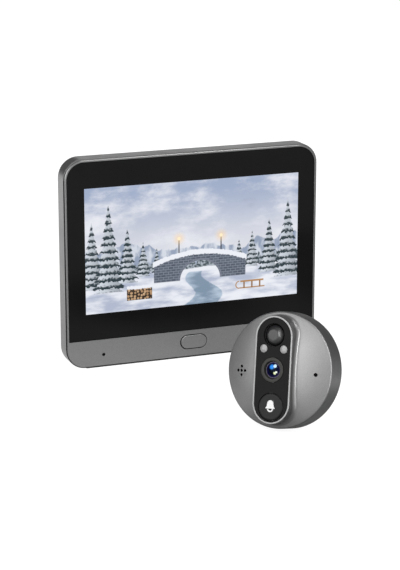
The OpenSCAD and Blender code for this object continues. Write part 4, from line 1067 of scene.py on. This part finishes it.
class BackShell(Operator):
    """Grey back of the monitor with the bracket pad and its openings"""

    bl_idname = "door_camera.back_shell"
    bl_label = "Back shell"

    def execute(self, context):
        size = context.scene.door_monitor
        colours = context.scene.door_colours
        front, back = SHELL_LOW.y - FRONT, size.shell_back
        pad_back = SHELL_HIGH.y - FRONT
        wall = size.shell_wall
        shell = outline_slab("shell", 0.0, front, back)
        round_edges(shell, size.shell_round, 10, edge_at(back))
        hook = MOUNTS["bracket_slots"]
        pad_up = hook["pos_m"][2]
        low, high = pad_up - size.pad_height / 2, pad_up + size.pad_height / 2
        pad = panel("pad", size.pad_width, low, high, back - wall / 2, pad_back, size.pad_corner)
        round_edges(pad, size.pad_edge, 5, edge_at(pad_back))
        boolean(shell, "UNION", pad)
        hollow = outline_slab("hollow", wall, front - wall, back - wall)
        round_edges(hollow, size.shell_round - wall, 6, edge_at(back - wall))
        recess = panel(
            "recess", size.pad_width - 2 * wall, low + wall, high - wall, back - 2 * wall, pad_back - wall,
            size.pad_corner - wall,
        )
        rebate = outline_slab("rebate", size.shell_lip, front - wall, size.shell_seat)
        for tool in (hollow, recess, rebate, *self.openings(size, hook, back, pad_back)):
            boolean(shell, "DIFFERENCE", tool)
        round_edges(shell, size.hole_edge, 3, mouth_at(back, pad_back))
        round_edges(shell, size.shell_edge, 2, mouth_at(front))
        # The shell's front end face, behind the bezel's lip, gets painted shade, near black
        for face in shell.data.polygons:
            face.material_index = int(face.normal.z > 0.99 and abs(face.center.z + front) < TINY)
        settle(
            shell, monitor_place(), "set", ["back_shell"], "satin_grey_casing",
            satin_paint("satin_grey_back", colours.casing),
            painted_groove_shade("shell_seal", colours.plate, colours.casing),
        )
        return {"FINISHED"}

    def openings(self, size, hook, back, pad_back):
        """Tools for the hook slots, ribbon window, sound holes, screw recesses and charging socket."""
        wall = size.shell_wall
        across, upwards = (hook["dims"][key] / 2000 for key in ("spacing_x_mm", "spacing_y_mm"))
        long, high = hook["dims"]["slot_length_mm"] / 1000, hook["dims"]["hole_r_mm"] / 500
        for side in (-1, 1):
            for level in (-1, 1):
                at = (side * across, hook["pos_m"][2] + level * upwards)
                yield oblong("hook_slot", long, high, at, pad_back - 2 * wall, pad_back + wall)
        at = (size.ribbon_right, size.height - size.ribbon_drop)
        inside, outside = back - 2 * wall, back + wall
        yield oblong("ribbon_window", size.ribbon_width, size.ribbon_height, at, inside, outside)
        radius = size.grille_hole / 2
        # Rings of the grille: radius in pitches, count of holes and angle of the first one
        for ring, count, start in ((0.0, 1, 0), (1.0, 6, 0), (math.sqrt(3.0), 6, 30)):
            for number in range(count):
                turn = math.radians(start + number * 60)
                at = (
                    size.grille_right + ring * size.grille_pitch * math.cos(turn),
                    size.grille_up + ring * size.grille_pitch * math.sin(turn),
                )
                profile = [(radius, -outside), (radius, 1.5 * wall - back)]
                yield turned("sound_hole", profile, at, GRILLE_TURN)
        for x in (size.screw_inset - size.width / 2, size.width / 2 - size.screw_inset):
            for y in (size.screw_rise, size.height - size.screw_rise):
                radius = size.screw_recess / 2
                profile = [(radius, -outside), (radius, size.screw_depth - back)]
                yield turned("screw_recess", profile, (x, y), SMALL_TURN)
        side = -size.width / 2
        socket = oblong(
            "socket_hole", size.usb_height, size.usb_width, (0.0, 0.0), side - wall, side + 2 * wall
        )
        choose(socket)
        socket.rotation_euler = (0.0, math.radians(90.0), 0.0)
        socket.location = (0.0, size.usb_up, -size.usb_depth)
        bpy.ops.object.transform_apply(location=True, rotation=True, scale=True)
        yield socket


class Cover(Operator):
    """Domed cover of the camera unit, with the boss whose foot follows the dome"""

    bl_idname = "door_camera.cover"
    bl_label = "Camera cover"

    def execute(self, context):
        size = context.scene.door_camera_unit
        colours = context.scene.door_colours
        cover = loft("dome_cover", self.rings(size))
        boolean(cover, "DIFFERENCE", *self.openings(size))
        holes = list(self.sound_holes(size))
        # The walls of the speaker and microphone holes get painted shade, near black
        for face in cover.data.polygons:
            inside = any((face.center.xy - Vector(at)).length < radius * 1.02 for at, radius in holes)
            face.material_index = int(inside and abs(face.normal.z) < 0.8)
        settle(
            cover, camera_place(), "set", ["camera_cover"], "satin_grey_casing",
            satin_paint("satin_grey_cover", colours.casing),
            moulded("dark_hole", colours.plate, roughness=0.8, specular=0.0), smooth=28.0,
        )
        return {"FINISHED"}

    def dome(self, size, x, y):
        """Height of the dome over a point of the face."""
        return size.dome_top - size.dome_radius + math.sqrt(size.dome_radius**2 - x * x - y * y)

    def path(self, size, arc=48, side=40):
        """Points of the boss's outline with their outward normals."""
        half = size.boss_width / 2
        reach = (size.boss_height - size.boss_width) / 2
        for turn in (0, 1):
            sign = 1 - 2 * turn
            for step in range(side):
                yield Vector((sign * half, sign * (2 * reach * step / side - reach))), Vector((sign, 0.0))
            for step in range(arc):
                at = math.pi * (turn + step / arc)
                normal = Vector((math.cos(at), math.sin(at)))
                yield normal * half + Vector((0.0, sign * reach)), normal

    def rings(self, size):
        """Rings of the cover, from the pocket's floor over the land, boss and dome to the inside."""
        path = list(self.path(size))

        def level(offset, height):
            return [Vector((*(point + normal * offset), height)) for point, normal in path]

        def on_dome(offset, drop):
            flat = [point + normal * offset for point, normal in path]
            return [Vector((p.x, p.y, self.dome(size, p.x, p.y) - drop)) for p in flat]

        def circle(radius, height):
            return [Vector((*(p * radius), height)) for p in around]

        pocket = -size.land
        top, gap = size.boss_top, size.plate_gap
        # Pocket and land, with a round outer edge
        rings = [level(pocket, size.floor_top), level(pocket, top - gap)]
        rings += [level(pocket + gap, top), level(-size.boss_edge - gap, top)]
        for out, up in quarter(size.boss_edge, 5):
            rings.append(level(out - size.boss_edge, top - size.boss_edge + up))
        # Foot of the boss, which shrinks where the boss comes near the rim
        edge = size.rim_edge
        feet = [
            size.boss_foot * math.tanh(0.8 * (size.radius - edge - point.length) / size.boss_foot)
            for point, normal in path
        ]
        for out, up in quarter(1.0, 12, 90.0, 0.0):
            ring = []
            for (point, normal), foot in zip(path, feet):
                p = point + normal * foot * (1.0 - out)
                ring.append(Vector((p.x, p.y, self.dome(size, p.x, p.y) + foot * (1.0 - up))))
            rings.append(ring)
        # Dome, from the foot to the rim
        lean = math.asin((size.radius - edge) / size.dome_radius)
        start = size.radius - edge + edge * math.sin(lean)
        foot_ring = [point + normal * foot for (point, normal), foot in zip(path, feet)]
        dome_steps = 16
        for step in range(1, dome_steps + 1):
            ring = [p.lerp(p.normalized() * start, step / dome_steps) for p in foot_ring]
            rings.append([Vector((p.x, p.y, self.dome(size, p.x, p.y))) for p in ring])
        # Rim, side and inside
        round_middle = self.dome(size, start, 0.0) - edge * math.cos(lean)
        around = [p.normalized() for p in foot_ring]
        for out, up in list(quarter(edge, 7, math.degrees(lean), 90.0))[1:]:
            rings.append(circle(size.radius - edge + out, round_middle + up))
        half_edge = edge / 2
        for out, up in quarter(half_edge, 3, 90.0, 180.0):
            rings.append(circle(size.radius - half_edge + out, half_edge - size.band + up))
        inner = size.radius - size.wall
        rings += [circle(inner + half_edge / 2, -size.band), circle(inner, half_edge / 2 - size.band)]
        rings.append(circle(inner, self.dome(size, inner, 0.0) - size.wall))
        rings += [on_dome(-size.wall, drop=size.wall), level(-size.wall, size.floor_back)]
        return rings

    def openings(self, size):
        """Tools for the openings in the pocket's floor and for the sound holes in the dome."""
        high, deep = size.boss_top * 2, 0.0
        pir = size.pir_hole / 2
        yield turned("pir_hole", [(pir, deep), (pir, high)], (0.0, size.pir_up))
        sleeve = size.sleeve_width / 2 + size.plate_gap
        yield turned("ring_hole", [(sleeve, deep), (sleeve, high)])
        led = size.led_width / 2 + size.plate_gap
        for side in (-1, 1):
            at = (side * size.led_side, size.led_up)
            yield turned("led_hole", [(led, deep), (led, high)], at, SMALL_TURN)
        stem = size.bell_stem + size.slide_gap
        cap = size.bell_width / 2 + size.slide_gap
        profile = [(stem, deep), (stem, size.bell_floor), (cap, size.bell_floor), (cap, high)]
        yield turned("bell_hole", profile, (0.0, -size.bell_down))
        for at, radius in self.sound_holes(size):
            yield self.drill(size, at, radius)

    def sound_holes(self, size):
        """Places and radii of the five speaker holes and the microphone hole."""
        for x, y in ((0, 0), (1, 0), (-1, 0), (0, 1), (0, -1)):
            at = (x * size.speaker_pitch - size.speaker_left, y * size.speaker_pitch - size.side_down)
            yield at, size.speaker_hole / 2
        yield (size.mic_right, -size.side_down), size.mic_hole / 2

    def drill(self, size, at, radius):
        """A drill for a small hole in the dome."""
        return turned("drill", [(radius, -radius), (radius, self.dome(size, *at) + radius)], at, HOLE_TURN)


class Fascia(Operator):
    """Gloss black plate in the boss"""

    bl_idname = "door_camera.fascia"
    bl_label = "Black plate"

    def execute(self, context):
        size = context.scene.door_camera_unit
        colours = context.scene.door_colours
        gap = size.land + size.plate_gap
        top, back = size.plate_top, size.plate_top - size.plate_thick
        width, height = size.boss_width - 2 * gap, size.boss_height - 2 * gap
        plate = oblong("fascia", width, height, (0.0, 0.0), -top, -back, 2 * END_STEPS)
        led = size.led_width / 2 + size.plate_gap
        holes = [
            ((0.0, size.pir_up), size.pir_hole / 2),
            ((0.0, 0.0), size.ring_width / 2 + size.plate_gap),
            ((-size.led_side, size.led_up), led),
            ((size.led_side, size.led_up), led),
            ((0.0, -size.bell_down), size.bell_width / 2 + size.slide_gap),
        ]
        tools = [turned("hole", [(radius, 0.0), (radius, 2 * top)], at) for at, radius in holes]
        boolean(plate, "DIFFERENCE", *tools)
        round_edges(plate, size.plate_gap, 3, mouth_at(-top))
        settle(
            plate, camera_place(), "set", ["fascia_plate"], "gloss_black",
            polished("gloss_black_plate", colours.plate, roughness=0.22, specular=0.035),
        )
        return {"FINISHED"}


def bulge(radius, rise, seat, steps=10):
    """Profile of a shallow cap that stands on a seat."""
    ball = (radius**2 + rise**2) / (2 * rise)
    for step in range(steps):
        out = radius * math.cos(math.pi / 2 * step / steps)
        yield out, seat + rise - ball + math.sqrt(ball**2 - out**2)


class MotionSensor(Operator):
    """Smoked window of the motion sensor: a cup with a round shoulder and a ribbed flat top"""

    bl_idname = "door_camera.motion_sensor"
    bl_label = "Motion sensor window"

    def execute(self, context):
        size = context.scene.door_camera_unit
        colours = context.scene.door_colours
        radius = size.pir_hole / 2 - size.plate_gap
        neck = radius - size.pir_rim
        top = size.pir_top_width / 2
        step = size.plate_gap
        flange = size.floor_back - step
        profile = [
            (size.pir_flange, flange - size.pir_rim), (size.pir_flange, flange), (radius, flange),
            (radius, size.pir_shelf), (neck, size.pir_shelf), *self.shoulder(size, neck, top),
            (top - step / 2, size.pir_top - step), (top - step, size.pir_top - step),
            (top - 2 * step, size.pir_top), (step, size.pir_top + step / 2),
        ]
        window = turned("motion_window", profile, (0.0, size.pir_up))
        # The shelf and the wall below the shoulder get painted shade, near black; the flat top gets the
        # ribbed disc
        for face in window.data.polygons:
            if face.center.z < size.pir_shoulder:
                face.material_index = 2
            elif face.center.z > size.pir_top - step / 2 and face.normal.z > 0.9:
                face.material_index = 1
        settle(
            window, camera_place(), "set", ["pir_lens"], "sensor_window",
            polished("smoked_window", colours.window, roughness=0.32, specular=0.42),
            ribbed_disc("ribbed_window_top", colours.disc, camera_place(), size.pir_up),
            moulded("black_window_groove", colours.plate, roughness=0.9, specular=0.0),
        )
        return {"FINISHED"}

    def shoulder(self, size, neck, top, steps=10):
        """Profile of the shoulder, an arc from the neck to the flat top."""
        rise = size.pir_top - size.pir_shoulder
        middle = (top**2 + rise**2 - neck**2) / (2 * rise)
        ball = math.hypot(neck, middle)
        start, end = math.atan2(-middle, neck), math.atan2(rise - middle, top)
        for step in range(steps + 1):
            turn = start + (end - start) * step / steps
            yield ball * math.cos(turn), size.pir_shoulder + middle + ball * math.sin(turn)


class NightLights(Operator):
    """The two night lights, with shallow caps flush with the plate"""

    bl_idname = "door_camera.night_lights"
    bl_label = "Night lights"

    def execute(self, context):
        size = context.scene.door_camera_unit
        colours = context.scene.door_colours
        radius = size.led_width / 2
        neck = size.led_top - size.led_rise
        cap = bulge(radius - size.plate_gap / 2, size.led_rise, neck)
        profile = [(radius, -neck), (radius, neck - size.plate_gap), *cap]
        lamps = [
            turned("night_lights", profile, (side * size.led_side, size.led_up), SMALL_TURN)
            for side in (-1, 1)
        ]
        settle(
            joined(*lamps), camera_place(), "set", ["ir_leds"], "clear_led",
            polished("milky_resin", colours.light, roughness=0.2, specular=0.5),
        )
        return {"FINISHED"}


class LensRing(Operator):
    """Dark flat ring whose lip holds the barrel, and the coated front lens"""

    bl_idname = "door_camera.lens"
    bl_label = "Lens ring and lens"

    def execute(self, context):
        size = context.scene.door_camera_unit
        colours = context.scene.door_colours
        outer, mouth, bore = size.ring_width / 2, size.lip_width / 2, size.barrel_width / 2
        sleeve = size.sleeve_width / 2
        edge = size.plate_gap
        top, back = size.ring_top, size.floor_back - size.sleeve_drop
        profile = [(bore, back), (sleeve, back), (sleeve, size.floor_top), (outer, size.floor_top)]
        profile += [(outer - edge + out, top - edge + up) for out, up in quarter(edge, 3, 90.0, 0.0)]
        profile += [(mouth + edge - out, top - edge + up) for out, up in quarter(edge, 3)]
        profile += [(size.lip_bore / 2, size.barrel_top), (bore, size.barrel_top)]
        settle(
            turned("lens_collar", profile, hollow=True), camera_place(), "set", ["lens_ring"], "ring_metal",
            moulded("dark_ring", colours.ring, roughness=0.5, metallic=0.2, specular=0.3),
        )
        radius = size.lens_width / 2
        profile = [(radius, size.lens_seat - size.lens_thick)]
        profile += bulge(radius, size.lens_bulge, size.lens_seat, 16)
        settle(
            turned("front_lens", profile), camera_place(), "set", ["lens_front_element"], "lens_glass",
            coated_glass("coated_front_lens", colours.lens, camera_place()),
        )
        return {"FINISHED"}


class BellButton(Operator):
    """Round bell button with its stem and flange, and the bell printed on it"""

    bl_idname = "door_camera.bell_button"
    bl_label = "Bell button"

    def execute(self, context):
        size = context.scene.door_camera_unit
        colours = context.scene.door_colours
        at = (0.0, -size.bell_down)
        cap, stem, edge, slope = size.bell_width / 2, size.bell_stem, size.bell_edge, size.bell_slope
        cap_back = size.plate_top - size.plate_thick
        flange = size.floor_back - size.plate_gap
        profile = [(size.bell_flange, flange - size.bell_flange_thick), (size.bell_flange, flange)]
        profile += [(stem, flange), (stem, cap_back), (cap, cap_back)]
        for out, up in quarter(1.0, 8, 90.0, 0.0):
            profile.append((cap - slope + slope * out, size.bell_top - edge + edge * up))
        settle(
            turned("bell_key", profile, at), camera_place(), "bell_key", ["bell_button"], "button_dark",
            moulded("dark_button", colours.button, roughness=0.4, specular=0.12),
        )
        settle(
            self.bell(size, at), camera_place(), "bell_key", ["bell_symbol"], "symbol_print",
            moulded("pale_print", colours.symbol, roughness=0.5, depth=0.000003),
        )
        return {"FINISHED"}

    def bell(self, size, at):
        """The bell: a round crown, a flared skirt and half a ring for the clapper."""
        # All shares are of the symbol's height
        tall = size.symbol_height
        middle = Vector(at) + Vector((0.0, size.symbol_up))
        crown, crown_up, brim_down = 0.28 * tall, 0.22 * tall, 0.19 * tall
        outline = [
            middle + Vector((crown * math.cos(turn), crown_up + crown * math.sin(turn)))
            for turn in (math.radians(6 * step) for step in range(31))
        ]
        left = ((-0.32, 0.0), (-0.435, -0.16), (-0.435, -0.19))
        right = [(-x, y) for x, y in reversed(left)]
        outline += [middle + tall * Vector(corner) for corner in (*left, *right)]
        low, high = size.bell_top, size.bell_top + size.symbol_thick
        levels = [[Vector((*point, height)) for point in outline] for height in (low, high)]
        bell = loft("bell_print", levels)
        brim = middle.y - brim_down
        inner, outer = 0.17 * tall, 0.286 * tall
        profile = [(inner, low), (outer, low), (outer, high), (inner, high)]
        clapper = turned("clapper", profile, (middle.x, brim), SMALL_TURN, hollow=True)
        cut = (0.0, brim - 0.02 * tall, 0.0)
        with editing(clapper):
            bpy.ops.mesh.select_all(action="SELECT")
            bpy.ops.mesh.bisect(plane_co=cut, plane_no=(0.0, 1.0, 0.0), clear_outer=True, use_fill=True)
        return joined(bell, clapper)


class InnerParts(Operator):
    """Finishes of the solids that stay as they are"""

    bl_idname = "door_camera.inner_parts"
    bl_label = "Inner parts"

    def execute(self, context):
        makers = {
            "black_tape": (moulded, {"roughness": 0.7}),
            "display": (polished, {}),
            "backlight_tray": (brushed, {}),
            "circuit_board": (solder_mask, {}),
            "black_plastic": (moulded, {"roughness": 0.55}),
            "cream_plastic": (moulded, {"roughness": 0.45}),
            "metal_can": (brushed, {}),
            "black_rubber": (moulded, {"roughness": 0.8}),
            "battery_wrap": (moulded, {"roughness": 0.35}),
            "grey_foam": (foam, {}),
            "speaker_frame": (moulded, {"roughness": 0.4}),
            "copper_film": (brushed, {"roughness": 0.35}),
            "screw_steel": (brushed, {"roughness": 0.32}),
            "base_plastic": (moulded, {"roughness": 0.55, "grain": 1500.0, "depth": 0.00003}),
            "ring_metal": (moulded, {"roughness": 0.5, "metallic": 0.5}),
            "lens_glass": (polished, {"roughness": 0.04}),
            "insert_brass": (brushed, {"roughness": 0.25}),
        }
        made = {}
        for name, node in frame["nodes"].items():
            if node.hide_render:
                continue
            slot = SLOT_OF_NODE[name]
            if slot not in made:
                maker, values = makers[slot]
                made[slot] = maker(f"{slot}_finish", SLOT_COLOURS[slot], **values)
            node.data.materials.clear()
            node.data.materials.append(made[slot])
        return {"FINISHED"}


class Stage(Operator):
    """Pale floor, soft light and the camera"""

    bl_idname = "door_camera.stage"
    bl_label = "Stage"

    def execute(self, context):
        stage = context.scene.door_stage
        colours = context.scene.door_colours
        bpy.ops.object.select_all(action="DESELECT")
        bpy.ops.mesh.primitive_plane_add(size=8.0, location=(0.0, 0.0, -TINY))
        floor = named("floor")
        floor.data.materials.append(self.floor_finish(colours.floor))
        self.world(stage)
        unit, between, monitor = (0.0, -0.12, 0.03), (0.0, -0.05, 0.05), (0.0, 0.0, 0.1)
        softbox("left_softbox", (-0.915, -0.36, 0.42), unit, wide=0.78, tall=0.8, power=8.8)
        softbox("front_strip", (-0.19, -1.3, 0.66), unit, wide=0.3, tall=1.4, power=21.0)
        softbox("top_softbox", (0.44, -0.36, 1.27), between, wide=0.35, tall=0.35, power=5.8)
        softbox("back_strip", (0.42, 1.1, 0.42), monitor, wide=0.5, tall=0.4, power=0.58)
        bpy.ops.object.camera_add(
            location=stage.place, rotation=(math.radians(90.0) - stage.tilt, 0.0, -stage.turn)
        )
        camera = bpy.context.object
        camera.data.lens = stage.lens * 1000.0
        camera.data.sensor_width = 36.0
        camera.data.clip_end = 20.0
        context.scene.camera = camera
        context.scene.view_settings.view_transform = "Standard"
        return {"FINISHED"}

    def floor_finish(self, tone):
        """Floor that keeps the shadow, looks white to the camera and is partly pale in metal and glass,
        with painted shade in its mirrored glow.
        """
        finish = Finish("pale_floor", roughness=0.9, specular=0.0)
        finish.mottle(tone, 0.01, finish.noise(8.0, 2.0))
        at = finish.split()
        across, depth = at["X"], at["Y"]
        path = finish.nodes.new("ShaderNodeLightPath").outputs
        glow = finish.math("MULTIPLY_ADD", self.mirror_paleness_with_painted_shade(finish, across, depth), 1.15, 0.1)
        mirrored = finish.math("MULTIPLY", path["Is Glossy Ray"], glow)
        seen = finish.math("MAXIMUM", path["Is Camera Ray"], mirrored)
        seen = finish.math("MAXIMUM", seen, path["Is Transmission Ray"])
        # The strip under the bezel doesn't glow, so the floor's real shade shows there: a painted contact
        # shadow that keeps the monitor's lower edge dark
        size = bpy.context.scene.door_monitor
        deep = size.bezel_depth / 2
        along = finish.math("COMPARE", across, 0.0, size.width / 2 - size.corner)
        under = finish.math("COMPARE", depth, FRONT + deep, deep)
        bare = finish.math("SUBTRACT", 1.0, finish.both(along, under))
        away = finish.span(across, depth)
        finish.set("Emission Color", (1.0, 1.0, 1.0))
        finish.set("Emission Strength", finish.both(seen, bare, finish.fade(away, 0.05, 0.6, 0.9, 0.98)))
        return finish.material

    def mirror_paleness_with_painted_shade(self, finish, across, depth):
        """How pale the floor is in metal and glass, by its place: painted shade lies beside both units and
        just behind the monitor.
        """
        unit = camera_place().translation
        painted_shade_x = unit.x + 0.02
        reach = finish.span(
            finish.math("SUBTRACT", across, painted_shade_x), finish.math("SUBTRACT", depth, unit.y)
        )
        # Painted shade to the right and close round the camera unit, pale far in front
        beside = finish.fade(across, 0.075, 0.117, 1.0, 0.16)
        right = finish.math("MAXIMUM", beside, finish.fade(depth, -0.26, -0.20, 0.8, 0.0))
        right = finish.both(right, finish.fade(reach, 0.03, 0.08))
        # Painted shade, dim, to the monitor's left; pale behind it and far in front on the left
        front = finish.both(
            finish.fade(across, -0.20, -0.15, 1.3, 0.0), finish.fade(depth, -0.07, -0.04, 1.0, 0.0)
        )
        dim = finish.fade(across, -0.12, -0.08, 0.2, 1.0)
        left = finish.math("MAXIMUM", dim, finish.fade(depth, 0.03, 0.07))
        left = finish.math("MAXIMUM", left, front)
        # Painted shade, a little darker, just behind the monitor
        behind = finish.both(finish.fade(depth, 0.0, 0.01), finish.fade(depth, 0.02, 0.25, 0.3, 0.0))
        return finish.both(right, left, finish.math("SUBTRACT", 1.0, behind))

    def world(self, stage):
        """Even light all round; where it is seen or mirrored, a pale room that darkens to the back."""
        world = bpy.data.worlds.new("studio")
        bpy.context.scene.world = world
        world.use_nodes = True
        nodes, links = world.node_tree.nodes, world.node_tree.links
        background = nodes["Background"]
        path = nodes.new("ShaderNodeLightPath").outputs
        seen = path["Is Camera Ray"]
        for ray in ("Is Glossy Ray", "Is Transmission Ray"):
            either = nodes.new("ShaderNodeMath")
            either.operation = "MAXIMUM"
            links.new(seen, either.inputs[0])
            links.new(path[ray], either.inputs[1])
            seen = either.outputs[0]
        side = nodes.new("ShaderNodeVectorMath")
        side.operation = "DOT_PRODUCT"
        side.inputs[1].default_value = (0.3, 0.95, 0.0)
        links.new(nodes.new("ShaderNodeTexCoord").outputs["Generated"], side.inputs[0])
        room = nodes.new("ShaderNodeMapRange")
        room.interpolation_type = "SMOOTHSTEP"
        links.new(side.outputs["Value"], room.inputs[0])
        for socket, value in (("From Min", -0.4), ("From Max", 0.4), ("To Min", 1.0), ("To Max", 0.1)):
            room.inputs[socket].default_value = value
        level = nodes.new("ShaderNodeMix")
        links.new(seen, level.inputs[0])
        level.inputs[2].default_value = stage.daylight
        links.new(room.outputs[0], level.inputs[3])
        background.inputs["Color"].default_value = (1.0, 1.0, 1.0, 1.0)
        links.new(level.outputs[0], background.inputs["Strength"])


def softbox(name, place, target, wide, tall, power):
    """A soft light that looks at a point."""
    bpy.ops.object.light_add(type="AREA", location=place)
    lamp = bpy.context.object
    lamp.name = lamp.data.name = name
    lamp.data.shape = "RECTANGLE"
    lamp.data.size = wide
    lamp.data.size_y = tall
    lamp.data.energy = power
    lamp.rotation_euler = (Vector(target) - Vector(place)).to_track_quat("-Z", "Y").to_euler()


PIECES = (
    FrontBezel, ScreenGlass, HomeButton, BackShell, Cover, Fascia, MotionSensor, NightLights, LensRing,
    BellButton, InnerParts, Stage,
)


class DoorCameraPanel(Panel):
    """Sidebar list of the set's pieces and sizes"""

    bl_idname = "VIEW3D_PT_door_camera"
    bl_label = "Door Camera"
    bl_space_type = "VIEW_3D"
    bl_region_type = "UI"
    bl_category = "Door Camera"

    def draw(self, context):
        for piece in PIECES:
            self.layout.operator(piece.bl_idname)
        for group in ("door_monitor", "door_camera_unit", "door_colours", "door_stage"):
            settings = getattr(context.scene, group)
            box = self.layout.box()
            for name in settings.__annotations__:
                box.prop(settings, name)


GROUPS = {
    "door_monitor": MonitorSizes,
    "door_camera_unit": CameraSizes,
    "door_colours": SetColours,
    "door_stage": StageSettings,
}


def register():
    """Register the settings, the operators and the panel."""
    for kind in (*GROUPS.values(), *PIECES, DoorCameraPanel):
        bpy.utils.register_class(kind)
    for name, kind in GROUPS.items():
        setattr(bpy.types.Scene, name, PointerProperty(type=kind))


def unregister():
    """Take back what register did."""
    for name in GROUPS:
        delattr(bpy.types.Scene, name)
    for kind in reversed((*GROUPS.values(), *PIECES, DoorCameraPanel)):
        bpy.utils.unregister_class(kind)


def main():
    """Build the set in order."""
    register()
    for piece in PIECES:
        group, name = piece.bl_idname.split(".")
        getattr(getattr(bpy.ops, group), name)()


if __name__ == "__main__":
    main()
